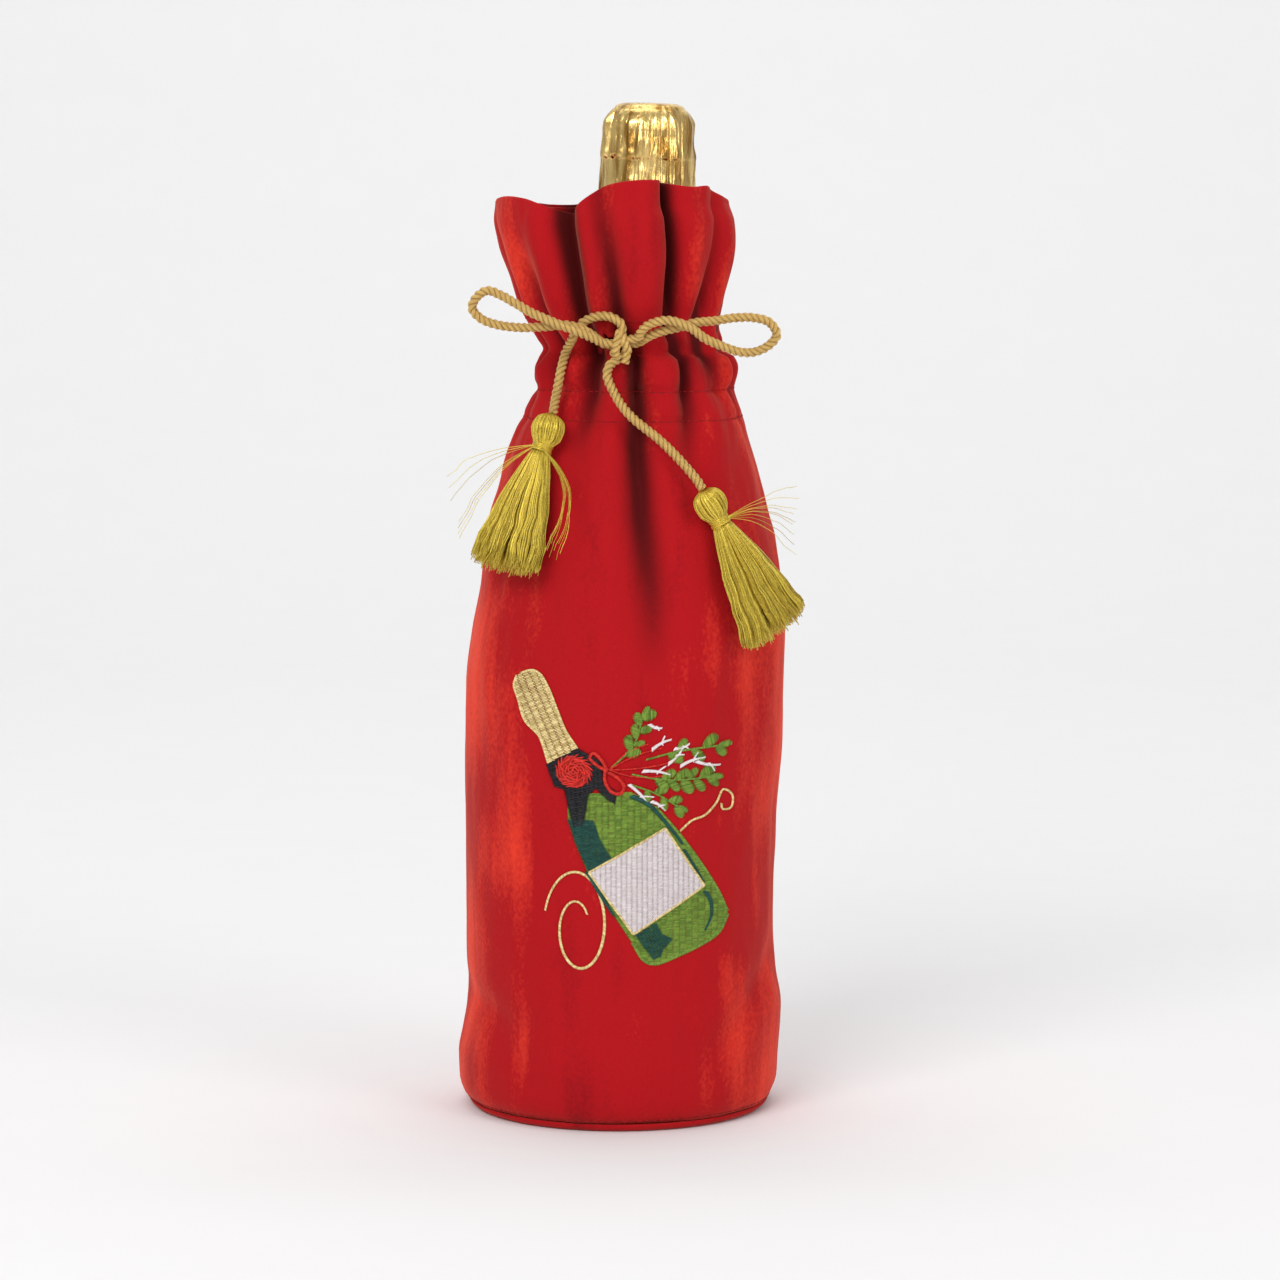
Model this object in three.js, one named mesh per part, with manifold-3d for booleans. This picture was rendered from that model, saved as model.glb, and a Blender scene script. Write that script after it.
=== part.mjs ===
// A velvet wine bag, tied at the neck with a tasselled cord round a wired-cork bottle.
// Millimetres, +Z up. The front faces -Y and the origin is under the middle of the base.
import * as THREE from "three";
import { mergeVertices } from "three/addons/utils/BufferGeometryUtils.js";
import Module from "manifold-3d";

const wasm = await Module();
wasm.setup();

// ---- driving dimensions -------------------------------------------------------------------

const BODY_RADIUS = 50; // the filled part of the bag
const SHOULDER_Z = 137; // where the cloth starts to draw in
const TIE_Z = 246; // middle of the cord in its casing
const TIE_RADIUS = 31; // over the folds at the tie
const COLLAR_RADIUS = 39; // over the folds of the open collar
const COLLAR_HEIGHT = 44; // tie to rim, at the sides
const LIP_RISE = 6.5; // how much higher the front of the rim stands
const PANEL = 1.2; // velvet, pile included
const FACING = 1.0; // turned-in hem behind the collar and casing
const FACING_DROP = 26; // tie to the hem of the facing
const GAP = 0.3; // between pieces that touch
const BASE_THICKNESS = 1.4;
const BASE_EDGE_Z = 2.4; // height of the seam round the base
const PLEAT_DEPTH = 8.5; // deepest fold, at the tie
const NECK_SLACK = 0.8; // cloth to bottle at the tie, with the bottle raised
const CORD = 3; // cord diameter
const SLOT_WIDTH = 10.4; // the opening that the cord's two ends come out of
const SLOT_HEIGHT = 5;
const THREAD = 0.6; // height of sewn and embroidered thread
const THREAD_LIFT = 0.4; // thread to cloth

const BOTTLE_RADIUS = 43.5;
const BOTTLE_HEIGHT = 299; // base to lip
const BOTTLE_LEAN = THREE.MathUtils.degToRad(1.73);
const BOTTLE_BASE = new THREE.Vector3(-0.5, 0, 4.6);
const BOTTLE_LIFT = 10; // how far the tied neck lets the bottle rise
const GLASS = 4.6;
const CORK_RADIUS = 11.4;
const CORK_HEAD = 15.6;
const FOIL = 0.4;
const FOIL_LENGTH = 64; // lip down to the foil's lower edge

const RING_SEGMENTS = 40; // round the cloth
const BOTTLE_SEGMENTS = 28;

// ---- colours --------------------------------------------------------------------------------

const finish = (color, roughness, metalness = 0) =>
  new THREE.MeshStandardMaterial({ color, roughness, metalness });
const FINISHES = {
  velvet: finish(0xb91920, 0.9),
  lining: finish(0x8f1218, 0.9),
  redThread: finish(0xb3141b, 0.6),
  cord: finish(0xc89b4b, 0.55, 0.3),
  tassel: finish(0xaa9c30, 0.5, 0.3),
  goldThread: finish(0xcdb25a, 0.5, 0.3),
  greenThread: finish(0x55872d, 0.6),
  darkThread: finish(0x10372c, 0.6),
  blackThread: finish(0x15151c, 0.6),
  whiteThread: finish(0xe9e1e1, 0.7),
  scarletThread: finish(0xc81e1e, 0.6),
  backing: finish(0xe4e2dc, 0.95),
  glass: finish(0x1d3b22, 0.1),
  wine: finish(0xd9c46a, 0.1),
  cork: finish(0xb98a5a, 0.9),
  wire: finish(0x8c8c90, 0.4, 0.9),
  foil: finish(0xc8a546, 0.35, 0.9),
};

const bag = new THREE.Group();

/** Adds one named piece to a group. */
function piece(name, geometry, look, group = bag) {
  const mesh = new THREE.Mesh(geometry, FINISHES[look]);
  mesh.name = name;
  group.add(mesh);
  return mesh;
}

// ---- closed bodies --------------------------------------------------------------------------

/** Six times the volume that the triangles enclose; negative where they face inwards. */
function signedVolume(points, faces) {
  let sum = 0;
  const cross = new THREE.Vector3();
  for (const [a, b, c] of faces) sum += points[a].dot(cross.crossVectors(points[b], points[c]));
  return sum;
}

/** A geometry from points and triangles, turned to face outwards. */
function closedBody(points, faces) {
  const flip = signedVolume(points, faces) < 0;
  const index = faces.flatMap(([a, b, c]) => (flip ? [a, c, b] : [a, b, c]));
  const geometry = new THREE.BufferGeometry().setFromPoints(points);
  geometry.setIndex(index);
  geometry.computeVertexNormals();
  return geometry;
}

/**
 * The wall between two surfaces, each a function of (u, v) with both running 0 to 1.
 * A ring closes on itself in u.
 */
function wall(front, back, across, up, ring) {
  const columns = ring ? across : across + 1;
  const points = [];
  for (const side of [front, back]) {
    for (let j = 0; j <= up; j++) {
      for (let i = 0; i < columns; i++) points.push(side(i / across, j / up));
    }
  }
  const size = columns * (up + 1);
  const at = (side, i, j) => side * size + j * columns + (i % columns);
  const faces = [];
  const quad = (a, b, c, d) => faces.push([a, b, c], [a, c, d]);
  for (let i = 0; i < across; i++) {
    for (let j = 0; j < up; j++) {
      quad(at(0, i, j), at(0, i + 1, j), at(0, i + 1, j + 1), at(0, i, j + 1));
      quad(at(1, i, j), at(1, i, j + 1), at(1, i + 1, j + 1), at(1, i + 1, j));
    }
    quad(at(0, i, 0), at(1, i, 0), at(1, i + 1, 0), at(0, i + 1, 0));
    quad(at(0, i, up), at(0, i + 1, up), at(1, i + 1, up), at(1, i, up));
  }
  for (let j = 0; j < up && !ring; j++) {
    quad(at(0, 0, j), at(0, 0, j + 1), at(1, 0, j + 1), at(1, 0, j));
    quad(at(0, across, j), at(1, across, j), at(1, across, j + 1), at(0, across, j + 1));
  }
  return closedBody(points, faces);
}

/** A body through a row of sections, each {centre, width, depth} with two half-axis vectors. */
function loft(sections, sides = 12) {
  const points = [];
  for (const { centre, width, depth } of sections) {
    for (let i = 0; i < sides; i++) {
      const turn = (i / sides) * 2 * Math.PI;
      const point = centre.clone().addScaledVector(width, Math.cos(turn));
      points.push(point.addScaledVector(depth, Math.sin(turn)));
    }
  }
  const faces = [];
  const last = (sections.length - 1) * sides;
  for (let i = 0; i < sides; i++) {
    const next = (i + 1) % sides;
    for (let row = 0; row < last; row += sides) {
      faces.push([row + i, row + next, row + sides + next], [row + i, row + sides + next, row + sides + i]);
    }
  }
  const [start, end] = [points.length, points.length + 1];
  points.push(sections[0].centre.clone(), sections.at(-1).centre.clone());
  for (let i = 0; i < sides; i++) {
    const next = (i + 1) % sides;
    faces.push([start, next, i], [end, last + i, last + next]);
  }
  return closedBody(points, faces);
}

/** A solid of revolution about +Z from [radius, height] points, first and last on the axis. */
function turned(profile, segments = 36) {
  const outline = profile.map(([r, h]) => new THREE.Vector2(r, h));
  return new THREE.LatheGeometry(outline, segments).rotateX(Math.PI / 2);
}

/** A turned body whose profile closes on itself instead of meeting the axis. */
function turnedRing(profile, segments = 48) {
  return turned([...profile, profile[0]], segments);
}

/** A cord of eight sides along a smooth curve through the points. */
function tube(points, radius, steps) {
  const section = new THREE.Shape();
  for (let i = 0; i < 8; i++) {
    const turn = (i / 8) * 2 * Math.PI;
    const corner = [radius * Math.cos(turn), radius * Math.sin(turn)];
    if (i === 0) section.moveTo(...corner);
    else section.lineTo(...corner);
  }
  const path = new THREE.CatmullRomCurve3(points, false, "centripetal");
  return new THREE.ExtrudeGeometry(section, { steps, bevelEnabled: false, extrudePath: path });
}

/** A manifold solid from a geometry. */
function solidOf(geometry) {
  const bare = new THREE.BufferGeometry();
  bare.setAttribute("position", geometry.getAttribute("position").clone());
  if (geometry.index) bare.setIndex(geometry.index.clone());
  const merged = mergeVertices(bare, 1e-4);
  return new wasm.Manifold(
    new wasm.Mesh({
      numProp: 3,
      vertProperties: merged.getAttribute("position").array,
      triVerts: new Uint32Array(merged.index.array),
    }),
  );
}

/** A geometry from a manifold solid. */
function geometryOf(solid) {
  const { vertProperties, triVerts } = solid.getMesh();
  const geometry = new THREE.BufferGeometry();
  geometry.setAttribute("position", new THREE.BufferAttribute(vertProperties, 3));
  geometry.setIndex(new THREE.BufferAttribute(triVerts, 1));
  geometry.computeVertexNormals();
  return geometry;
}

/** One body from geometries that run into each other. */
const fused = (geometries) => geometryOf(geometries.map(solidOf).reduce((whole, next) => whole.add(next)));

/** The value at x on a broken line of [x, ...values] rows, for the given column. */
function along(rows, x, column = 1) {
  if (x <= rows[0][0]) return rows[0][column];
  for (let i = 1; i < rows.length; i++) {
    if (x > rows[i][0]) continue;
    const share = (x - rows[i - 1][0]) / (rows[i][0] - rows[i - 1][0]);
    return THREE.MathUtils.lerp(rows[i - 1][column], rows[i][column], share);
  }
  return rows.at(-1)[column];
}

const clamp01 = (x) => Math.min(1, Math.max(0, x));
const bell = (x, spread) => Math.exp(-0.5 * (x / spread) ** 2);

// ---- the bottle's outline, measured up its own axis -------------------------------------------

const NECK_RADIUS = 13.7;
const GLASS_ROWS = [
  // height, radius
  [0, BOTTLE_RADIUS - 5],
  [6, BOTTLE_RADIUS],
  [0.42 * BOTTLE_HEIGHT, BOTTLE_RADIUS],
  [0.5 * BOTTLE_HEIGHT, BOTTLE_RADIUS - 1.7],
  [0.55 * BOTTLE_HEIGHT, BOTTLE_RADIUS - 6.2],
  [0.6 * BOTTLE_HEIGHT, BOTTLE_RADIUS - 11.5],
  [0.65 * BOTTLE_HEIGHT, BOTTLE_RADIUS - 16.8],
  [0.7 * BOTTLE_HEIGHT, BOTTLE_RADIUS - 21.4],
  [BOTTLE_HEIGHT - 77, NECK_RADIUS + 4.8],
  [BOTTLE_HEIGHT - FOIL_LENGTH, NECK_RADIUS + 2.9],
  [BOTTLE_HEIGHT - 44, NECK_RADIUS + 1.6],
  [BOTTLE_HEIGHT - 24, NECK_RADIUS + 0.5],
  [BOTTLE_HEIGHT - 6, NECK_RADIUS],
  [BOTTLE_HEIGHT, NECK_RADIUS - 1.1],
];
const glassRadius = (height) => along(GLASS_ROWS, height);
const wrappedRadius = (height) =>
  glassRadius(height) + (height >= BOTTLE_HEIGHT - FOIL_LENGTH ? GAP + FOIL : 0);

const axisX = (z) => BOTTLE_BASE.x + (z - BOTTLE_BASE.z) * Math.tan(BOTTLE_LEAN);

/** The widest the bottle gets at height z while it rises by its full lift. */
function sweptRadius(z) {
  const height = (z - BOTTLE_BASE.z) / Math.cos(BOTTLE_LEAN);
  const heights = [0, 0.5, 1].map((share) => height - share * BOTTLE_LIFT);
  return Math.max(...heights.map(wrappedRadius));
}

// ---- the cloth's surface ----------------------------------------------------------------------

const RING_RADIUS = sweptRadius(TIE_Z) + NECK_SLACK + FACING + 2 * GAP + CORD / 2;
const CLOTH_BOTTOM = BASE_EDGE_Z + GAP;
const RIM_Z = TIE_Z + COLLAR_HEIGHT;
const drawIn = (share) => THREE.MathUtils.lerp(SHOULDER_Z, TIE_Z, share);
const narrowing = (share) => THREE.MathUtils.lerp(BODY_RADIUS, TIE_RADIUS, share);
const OUTLINE = [
  // height, reach towards -X, reach towards +X
  [CLOTH_BOTTOM, BODY_RADIUS - 1.5, BODY_RADIUS - 3.5],
  [9, BODY_RADIUS + 2.2, BODY_RADIUS - 0.2],
  [17, BODY_RADIUS + 2.2, BODY_RADIUS + 0.2],
  [27, BODY_RADIUS + 0.5, BODY_RADIUS + 0.8],
  [45, BODY_RADIUS, BODY_RADIUS - 0.3],
  [SHOULDER_Z - 15, BODY_RADIUS, BODY_RADIUS + 1.4],
  [SHOULDER_Z, BODY_RADIUS - 0.2, BODY_RADIUS + 1.8],
  [drawIn(0.15), narrowing(0.1), BODY_RADIUS + 2],
  [drawIn(0.29), narrowing(0.25), narrowing(0)],
  [drawIn(0.43), narrowing(0.37), narrowing(0.1)],
  [drawIn(0.57), narrowing(0.56), narrowing(0.26)],
  [drawIn(0.71), narrowing(0.76), narrowing(0.42)],
  [drawIn(0.86), narrowing(1) - 0.5, narrowing(0.58)],
  [TIE_Z - 5, TIE_RADIUS - 2.6, TIE_RADIUS + 6],
  [TIE_Z, TIE_RADIUS - 2.8, TIE_RADIUS + 2.8],
  [TIE_Z + 4, TIE_RADIUS, TIE_RADIUS + 2],
  [TIE_Z + 12, COLLAR_RADIUS - 4.4, COLLAR_RADIUS - 4.2],
  [TIE_Z + 22, COLLAR_RADIUS - 1.2, COLLAR_RADIUS - 2.4],
  [TIE_Z + 31, COLLAR_RADIUS + 1.2, COLLAR_RADIUS - 1.4],
  [TIE_Z + 38, COLLAR_RADIUS + 2.2, COLLAR_RADIUS - 1.7],
  [RIM_Z, COLLAR_RADIUS + 1.5, COLLAR_RADIUS - 3.8],
];
const DEPTH_SHARE = 0.98; // front to back, against side to side

/** The oval through the tops of the folds at height z: its middle in x and its two half-sizes. */
function oval(z) {
  const left = along(OUTLINE, z, 1);
  const right = along(OUTLINE, z, 2);
  const half = (left + right) / 2;
  return { middle: (right - left) / 2, half, deep: half * DEPTH_SHARE };
}

const PLEATS = [
  // angle from the front, half-width, share left at the rim, reach below the tie; degrees and mm
  [-6, 8, 0.15, 85],
  [-29, 6, 0.9, 34],
  [-50, 6, 0.2, 34],
  [28, 6, 1, 46],
  [54, 6, 0.35, 30],
  [78, 6, 0.6, 40],
  [-77, 6, 0.5, 40],
  [104, 7, 0.3, 50],
  [-104, 7, 0.7, 40],
  [130, 7, 0.8, 60],
  [-131, 7, 0.4, 50],
  [156, 7, 0.4, 40],
  [-157, 7, 0.8, 60],
  [180, 7, 0.5, 50],
];

/** How deep the folds lie at an angle in degrees and a height. */
function foldDepth(angle, z) {
  let depth = 0;
  for (const [middle, spread, atRim, reach] of PLEATS) {
    const off = ((((angle - middle) % 360) + 540) % 360) - 180;
    const above = clamp01((z - TIE_Z) / COLLAR_HEIGHT);
    const below = clamp01((TIE_Z - z) / reach);
    const share = z > TIE_Z ? THREE.MathUtils.lerp(1, atRim, above) : (1 - below) ** 1.5;
    depth += share * bell(off, spread * (1 + 0.7 * below)) * PLEAT_DEPTH;
  }
  return depth;
}

/** Layers between the bottle and the outside of the panel. */
function layers(z) {
  const casing = NECK_SLACK + FACING + 2 * GAP + CORD + GAP + PANEL;
  return z > TIE_Z - 12 ? casing : NECK_SLACK + PANEL + (z > TIE_Z - FACING_DROP ? FACING + GAP : 0);
}

/** A point on the cloth, `inset` inside its outer face. The angle is in degrees from the front. */
function clothPoint(angle, z, inset = 0) {
  const { middle, half, deep } = oval(z);
  const turn = THREE.MathUtils.degToRad(angle);
  const fold = foldDepth(angle, z);
  const x = middle + (half - fold) * Math.sin(turn);
  const y = -(deep - fold) * Math.cos(turn);
  const fromAxis = new THREE.Vector2(x - axisX(z), y);
  const least = sweptRadius(z) + layers(z);
  if (fromAxis.length() < least) fromAxis.setLength(least);
  fromAxis.setLength(fromAxis.length() - inset);
  return new THREE.Vector3(axisX(z) + fromAxis.x, fromAxis.y, z);
}

/** Height of the rim at an angle: it stands up at the front and dips beside the folds. */
function rimHeight(angle) {
  const off = ((((angle % 360) + 540) % 360) - 180);
  const lip = LIP_RISE * bell(off - 8, 20);
  return RIM_Z + lip - 3.5 * bell(off + 29, 8) - 2 * bell(off - 40, 7);
}

/** The height at a share of the way up a piece that runs to the rim. */
function upToRim(levels, share, angle) {
  const row = levels[Math.round(share * (levels.length - 1))];
  if (row <= TIE_Z) return row;
  const stretch = (row - TIE_Z) / COLLAR_HEIGHT;
  return TIE_Z + stretch * (rimHeight(angle) - TIE_Z);
}

const LEVELS_BELOW = [CLOTH_BOTTOM, 9, 17, 27, 45, SHOULDER_Z - 15, SHOULDER_Z, drawIn(0.15)];
const LEVELS_DRAWN = [0.29, 0.43, 0.57, 0.7].map(drawIn);
const LEVELS_FACING = [TIE_Z - 24, TIE_Z - 17, TIE_Z - 11, TIE_Z - 6, TIE_Z - 3, TIE_Z];
const LEVELS_COLLAR = [3.5, 7, 12, 22, 32, COLLAR_HEIGHT].map((rise) => TIE_Z + rise);

/** A closed ring of cloth between two insets, with its rows at the given heights. */
function clothRing(levels, outside, inside) {
  const face = (point) => (u, v) => point(u * 360, upToRim(levels, v, u * 360));
  return wall(face(outside), face(inside), RING_SEGMENTS, levels.length - 1, true);
}

// ---- knot and cord routes ----------------------------------------------------------------------

const KNOT = new THREE.Vector3(-0.3, -TIE_RADIUS - 1.2, TIE_Z + 0.6);
const KNOT_HALF = new THREE.Vector3(4.4, 3.5, 4);
const fromKnot = (rows) => rows.map(([x, y, z]) => new THREE.Vector3(x, y, z).add(KNOT));

/** The outside of the cloth's front, without its folds, at a place seen from the front. */
function frontPoint(x, z, lift) {
  const { middle, half, deep } = oval(z);
  const across = THREE.MathUtils.clamp((x - middle) / half, -0.98, 0.98);
  const y = -deep * Math.sqrt(1 - across * across);
  const normal = new THREE.Vector3(across / half, y / (deep * deep), 0).normalize();
  return new THREE.Vector3(x, y, z).addScaledVector(normal, lift);
}

/** A route laid on the cloth: places beside and below the knot, and how far each stands off. */
const onCloth = (rows) => rows.map(([x, z, lift]) => {
  return frontPoint(KNOT.x + x, KNOT.z + z, 0).sub(new THREE.Vector3(0, lift, 0));
});

const LEFT_LOOP = fromKnot([
  [-5.5, -1.7, 0.2],
  [-9.2, -3.6, 2],
  [-13.9, -5.2, 4],
  [-18.6, -5.6, 5.8],
  [-23.2, -5.4, 7.7],
  [-27.9, -4.8, 9.8],
  [-32.7, -4, 12.6],
  [-37.1, -3.2, 15],
  [-41.2, -2.4, 16.3],
  [-44.7, -1.6, 14],
  [-45.9, -1, 10.8],
  [-43.4, -0.7, 7.7],
  [-38.7, -0.8, 5.8],
  [-31, -1.2, 4.8],
  [-23.2, -1.6, 5.1],
  [-17, -1.7, 5.6],
  [-11.8, -1.6, 4.3],
  [-7.9, 0.3, 1.8],
  [-5.5, 1.8, -0.2],
]);
const RIGHT_LOOP = fromKnot([
  [5.5, -1.8, 1.8],
  [6.8, -3.4, 4],
  [9.3, -4.9, 6],
  [14.9, -5.9, 7.2],
  [21.7, -5.8, 5],
  [26.3, -5.2, 1.6],
  [31.6, -4.2, -0.8],
  [37.2, -3.2, -2.7],
  [41.9, -2.4, -2.7],
  [46.5, -1.6, -0.5],
  [48.7, -1, 2.6],
  [46.5, -0.7, 6.3],
  [41.8, -0.8, 7.8],
  [35.6, -1, 7.8],
  [29.4, -1.4, 6.9],
  [23.2, -2, 6.3],
  [18.6, -2.2, 5],
  [12.4, -2.2, 3.5],
  [8.8, -0.8, 2],
  [5.5, 1.8, 0],
]);
const ARCH = fromKnot([
  [0.6, -0.4, 4.4],
  [0, -0.8, 6.2],
  [-3.1, -0.4, 8.1],
  [-7.1, 0.4, 8.2],
  [-11.5, 1.6, 6.3],
  [-14.2, 2.4, 2.7],
]);
const LEFT_TAIL = [
  ARCH.at(-1).clone().add(new THREE.Vector3(-0.2, -0.05, -0.6)),
  ...onCloth([[-16.8, -2.8, 3.4], [-18.7, -9.9, 3.2], [-19.9, -16.1, 3.9], [-20.9, -22, 5.7]]),
];
const RIGHT_TAIL = [
  new THREE.Vector3(-1.2, -1.4, -5.3).add(KNOT),
  ...onCloth([
    [-3.3, -7, 3],
    [-4, -9.9, 2.9],
    [-1.5, -16, 2.9],
    [3.1, -22.2, 2.9],
    [12.4, -29.9, 2.9],
    [18.6, -36.1, 3.2],
    [23.9, -42.3, 4.6],
    [25.6, -45, 5.5],
  ]),
];

// ---- cloth pieces --------------------------------------------------------------------------------

function makeCloth() {
  const levels = [...LEVELS_BELOW, ...LEVELS_DRAWN, ...LEVELS_FACING, ...LEVELS_COLLAR];
  const outside = (angle, z) => clothPoint(angle, z);
  const inside = (angle, z) => clothPoint(angle, z, PANEL);
  const panel = solidOf(clothRing(levels, outside, inside));
  const slotFront = KNOT.y - 12;
  const slotBack = -RING_RADIUS + CORD / 2 + GAP;
  const slot = new THREE.BoxGeometry(SLOT_WIDTH, slotBack - slotFront, SLOT_HEIGHT);
  slot.translate(KNOT.x, (slotFront + slotBack) / 2, TIE_Z);
  piece("side_panel", geometryOf(panel.subtract(solidOf(slot))), "velvet");

  const hug = (angle, z, inset) => {
    const point = clothPoint(angle, z, PANEL + GAP + inset);
    const fromAxis = new THREE.Vector2(point.x - axisX(z), point.y);
    const room = RING_RADIUS - CORD / 2 - 2 * GAP - inset + 2.2 * Math.max(0, Math.abs(z - TIE_Z) - 4);
    if (fromAxis.length() > room) fromAxis.setLength(room);
    return new THREE.Vector3(axisX(z) + fromAxis.x, fromAxis.y, z - GAP);
  };
  const facingLevels = [...LEVELS_FACING, ...LEVELS_COLLAR];
  const facing = clothRing(facingLevels, (a, z) => hug(a, z, 0), (a, z) => hug(a, z, FACING));
  piece("collar_facing", facing, "lining");

  const seat = BODY_RADIUS - 4;
  const base = turned([
    [0, 0],
    [seat, 0],
    [seat + 1.8, 0.9],
    [seat + 2.3, BASE_EDGE_Z],
    [seat + 1.1, BASE_EDGE_Z],
    [seat, BASE_THICKNESS],
    [0, BASE_THICKNESS],
  ], 48);
  piece("base_panel", base, "velvet");
  const allowance = BASE_THICKNESS + GAP;
  piece("base_seam_allowance", turnedRing([
    [seat - 9, allowance],
    [seat - 0.6, allowance],
    [seat - 0.6, allowance + 1],
    [seat - 9, allowance + 1],
  ]), "velvet");

  const strip = (inset) => (u, v) => {
    const z = THREE.MathUtils.lerp(CLOTH_BOTTOM + 4, SHOULDER_Z + 15, v);
    return clothPoint(180 + (u - 0.5) * 18, z, PANEL + 2 * GAP + inset);
  };
  piece("back_seam_allowance", wall(strip(0), strip(1), 3, 6, false), "velvet");
}

/** A row of sewing round the cloth at one height. */
function stitchRow(name, z) {
  const face = (lift) => (u, v) => clothPoint(u * 360, z + (v - 0.5) * THREAD, -lift);
  const row = wall(face(THREAD_LIFT + THREAD), face(THREAD_LIFT), RING_SEGMENTS, 1, true);
  piece(name, row, "redThread");
}

function makeSewing() {
  stitchRow("casing_stitch_upper", TIE_Z + 7);
  stitchRow("casing_stitch_lower", TIE_Z - 17);
  stitchRow("facing_hem_stitch", TIE_Z - 24);
  stitchRow("base_seam_stitch", 5);
  for (const [side, x] of [["left", -0.5 * SLOT_WIDTH - 1], ["right", 0.5 * SLOT_WIDTH + 1]]) {
    const angle = THREE.MathUtils.radToDeg(Math.asin((KNOT.x + x - oval(TIE_Z).middle) / TIE_RADIUS));
    const face = (lift) => (u, v) =>
      clothPoint(angle + (u - 0.5) * 1.6, TIE_Z + (v - 0.5) * (SLOT_HEIGHT + 1.6), -lift);
    const bar = wall(face(THREAD_LIFT + THREAD), face(THREAD_LIFT), 1, 2, false);
    piece(`buttonhole_stitch_${side}`, bar, "redThread");
  }
}

// ---- cord and tassels ------------------------------------------------------------------------------

function makeCord() {
  const z = TIE_Z;
  const middle = axisX(z);
  const facing = THREE.MathUtils.radToDeg(Math.asin((KNOT.x - middle) / RING_RADIUS));
  const ring = [];
  const parting = 15;
  const turns = 16;
  for (let i = 0; i <= turns; i++) {
    const angle = facing + parting + (i / turns) * (360 - 2 * parting);
    const turn = THREE.MathUtils.degToRad(angle);
    ring.push(new THREE.Vector3(middle + RING_RADIUS * Math.sin(turn), -RING_RADIUS * Math.cos(turn), z));
  }
  const behindKnot = KNOT.y + KNOT_HALF.y + GAP;
  const ends = [2.2, -2.2].map((x) => [
    new THREE.Vector3(KNOT.x + x, behindKnot, z),
    new THREE.Vector3(KNOT.x + 1.1 * x, behindKnot + 2, z),
  ]);
  const route = [...ends[0], ...ring, ends[1][1], ends[1][0]];
  piece("neck_cord", tube(route, CORD / 2, 40), "cord");

  const sections = [
    [-1, 0.75],
    [-0.8, 0.92],
    [0, 1],
    [0.8, 0.92],
    [1, 0.75],
  ].map(([x, size]) => ({
    centre: new THREE.Vector3(KNOT.x + x * KNOT_HALF.x, KNOT.y, KNOT.z),
    width: new THREE.Vector3(0, KNOT_HALF.y * size, 0),
    depth: new THREE.Vector3(0, 0, KNOT_HALF.z * size),
  }));
  piece("bow_knot", loft(sections), "cord");
  piece("bow_arch", tube(ARCH, CORD / 2, 8), "cord");
  piece("left_loop_cord", tube(LEFT_LOOP, CORD / 2, 26), "cord");
  piece("right_loop_cord", tube(RIGHT_LOOP, CORD / 2, 26), "cord");
  piece("left_tail_cord", tube(LEFT_TAIL, CORD / 2, 8), "cord");
  piece("right_tail_cord", tube(RIGHT_TAIL, CORD / 2, 14), "cord");
}

/** A tassel: a wound head, a binding and a skirt of threads, hung from `top` along `down`. */
function makeTassel(side, top, down, outward, splay) {
  const across = new THREE.Vector3().crossVectors(down, outward).normalize();
  const depthWay = new THREE.Vector3().crossVectors(across, down).normalize();
  const body = (rows) => loft(rows.map(([distance, wide, deep]) => ({
    centre: top.clone().addScaledVector(down, distance),
    width: across.clone().multiplyScalar(wide),
    depth: depthWay.clone().multiplyScalar(deep),
  })));
  const head = [[0.5, 1.6, 1.6], [1.6, 3.4, 3.4], [5, 4.4, 4.4], [8.6, 3.9, 3.9], [10, 3, 3]];
  const binding = [[10.3, 3.2, 3.2], [12, 3.2, 3.2]];
  const skirt = [[12.3, 3.2, 3.2], [20, 5.2, 4.6], [32, splay * 0.8, 6], [50, splay, 6.5]];
  piece(`${side}_tassel_head`, body(head), "tassel");
  piece(`${side}_tassel_binding`, body(binding), "goldThread");
  piece(`${side}_tassel_skirt`, body(skirt), "tassel");
}

// ---- embroidery --------------------------------------------------------------------------------------

const MOTIF_FOOT = [19.8, 61.8]; // middle of the motif bottle's base, seen from the front
const MOTIF_TILT = THREE.MathUtils.degToRad(29.9);

/** A place in the tilted bottle motif, [across, up its axis], seen from the front. */
function motif([across, up]) {
  const [cos, sin] = [Math.cos(MOTIF_TILT), Math.sin(MOTIF_TILT)];
  return [MOTIF_FOOT[0] + across * cos - up * sin, MOTIF_FOOT[1] + across * sin + up * cos];
}

/** A patch of stitches on the front, `level` layers up, between a left and a right edge. */
function patch(rows, level, place = motif, across = 4) {
  const lift = THREAD_LIFT + level * (THREAD + GAP);
  const last = rows.length - 1;
  const face = (height) => (u, v) => {
    const [up, left, right] = rows[Math.round(v * last)];
    const [x, z] = place([THREE.MathUtils.lerp(left, right, u), up]);
    return frontPoint(x, z, height);
  };
  return wall(face(lift + THREAD), face(lift), across, last, false);
}

/** A line of stitches on the front through [x, z] places. */
function line(places, width, steps, level = 0) {
  const curve = new THREE.CatmullRomCurve3(places.map(([x, z]) => new THREE.Vector3(x, 0, z)));
  const lift = THREAD_LIFT + level * (THREAD + GAP);
  const face = (height) => (u, v) => {
    const point = curve.getPoint(v);
    const way = curve.getTangent(v);
    const aside = (u - 0.5) * width;
    return frontPoint(point.x - way.z * aside, point.z + way.x * aside, height);
  };
  return wall(face(lift + THREAD), face(lift), 1, steps, false);
}

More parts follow.
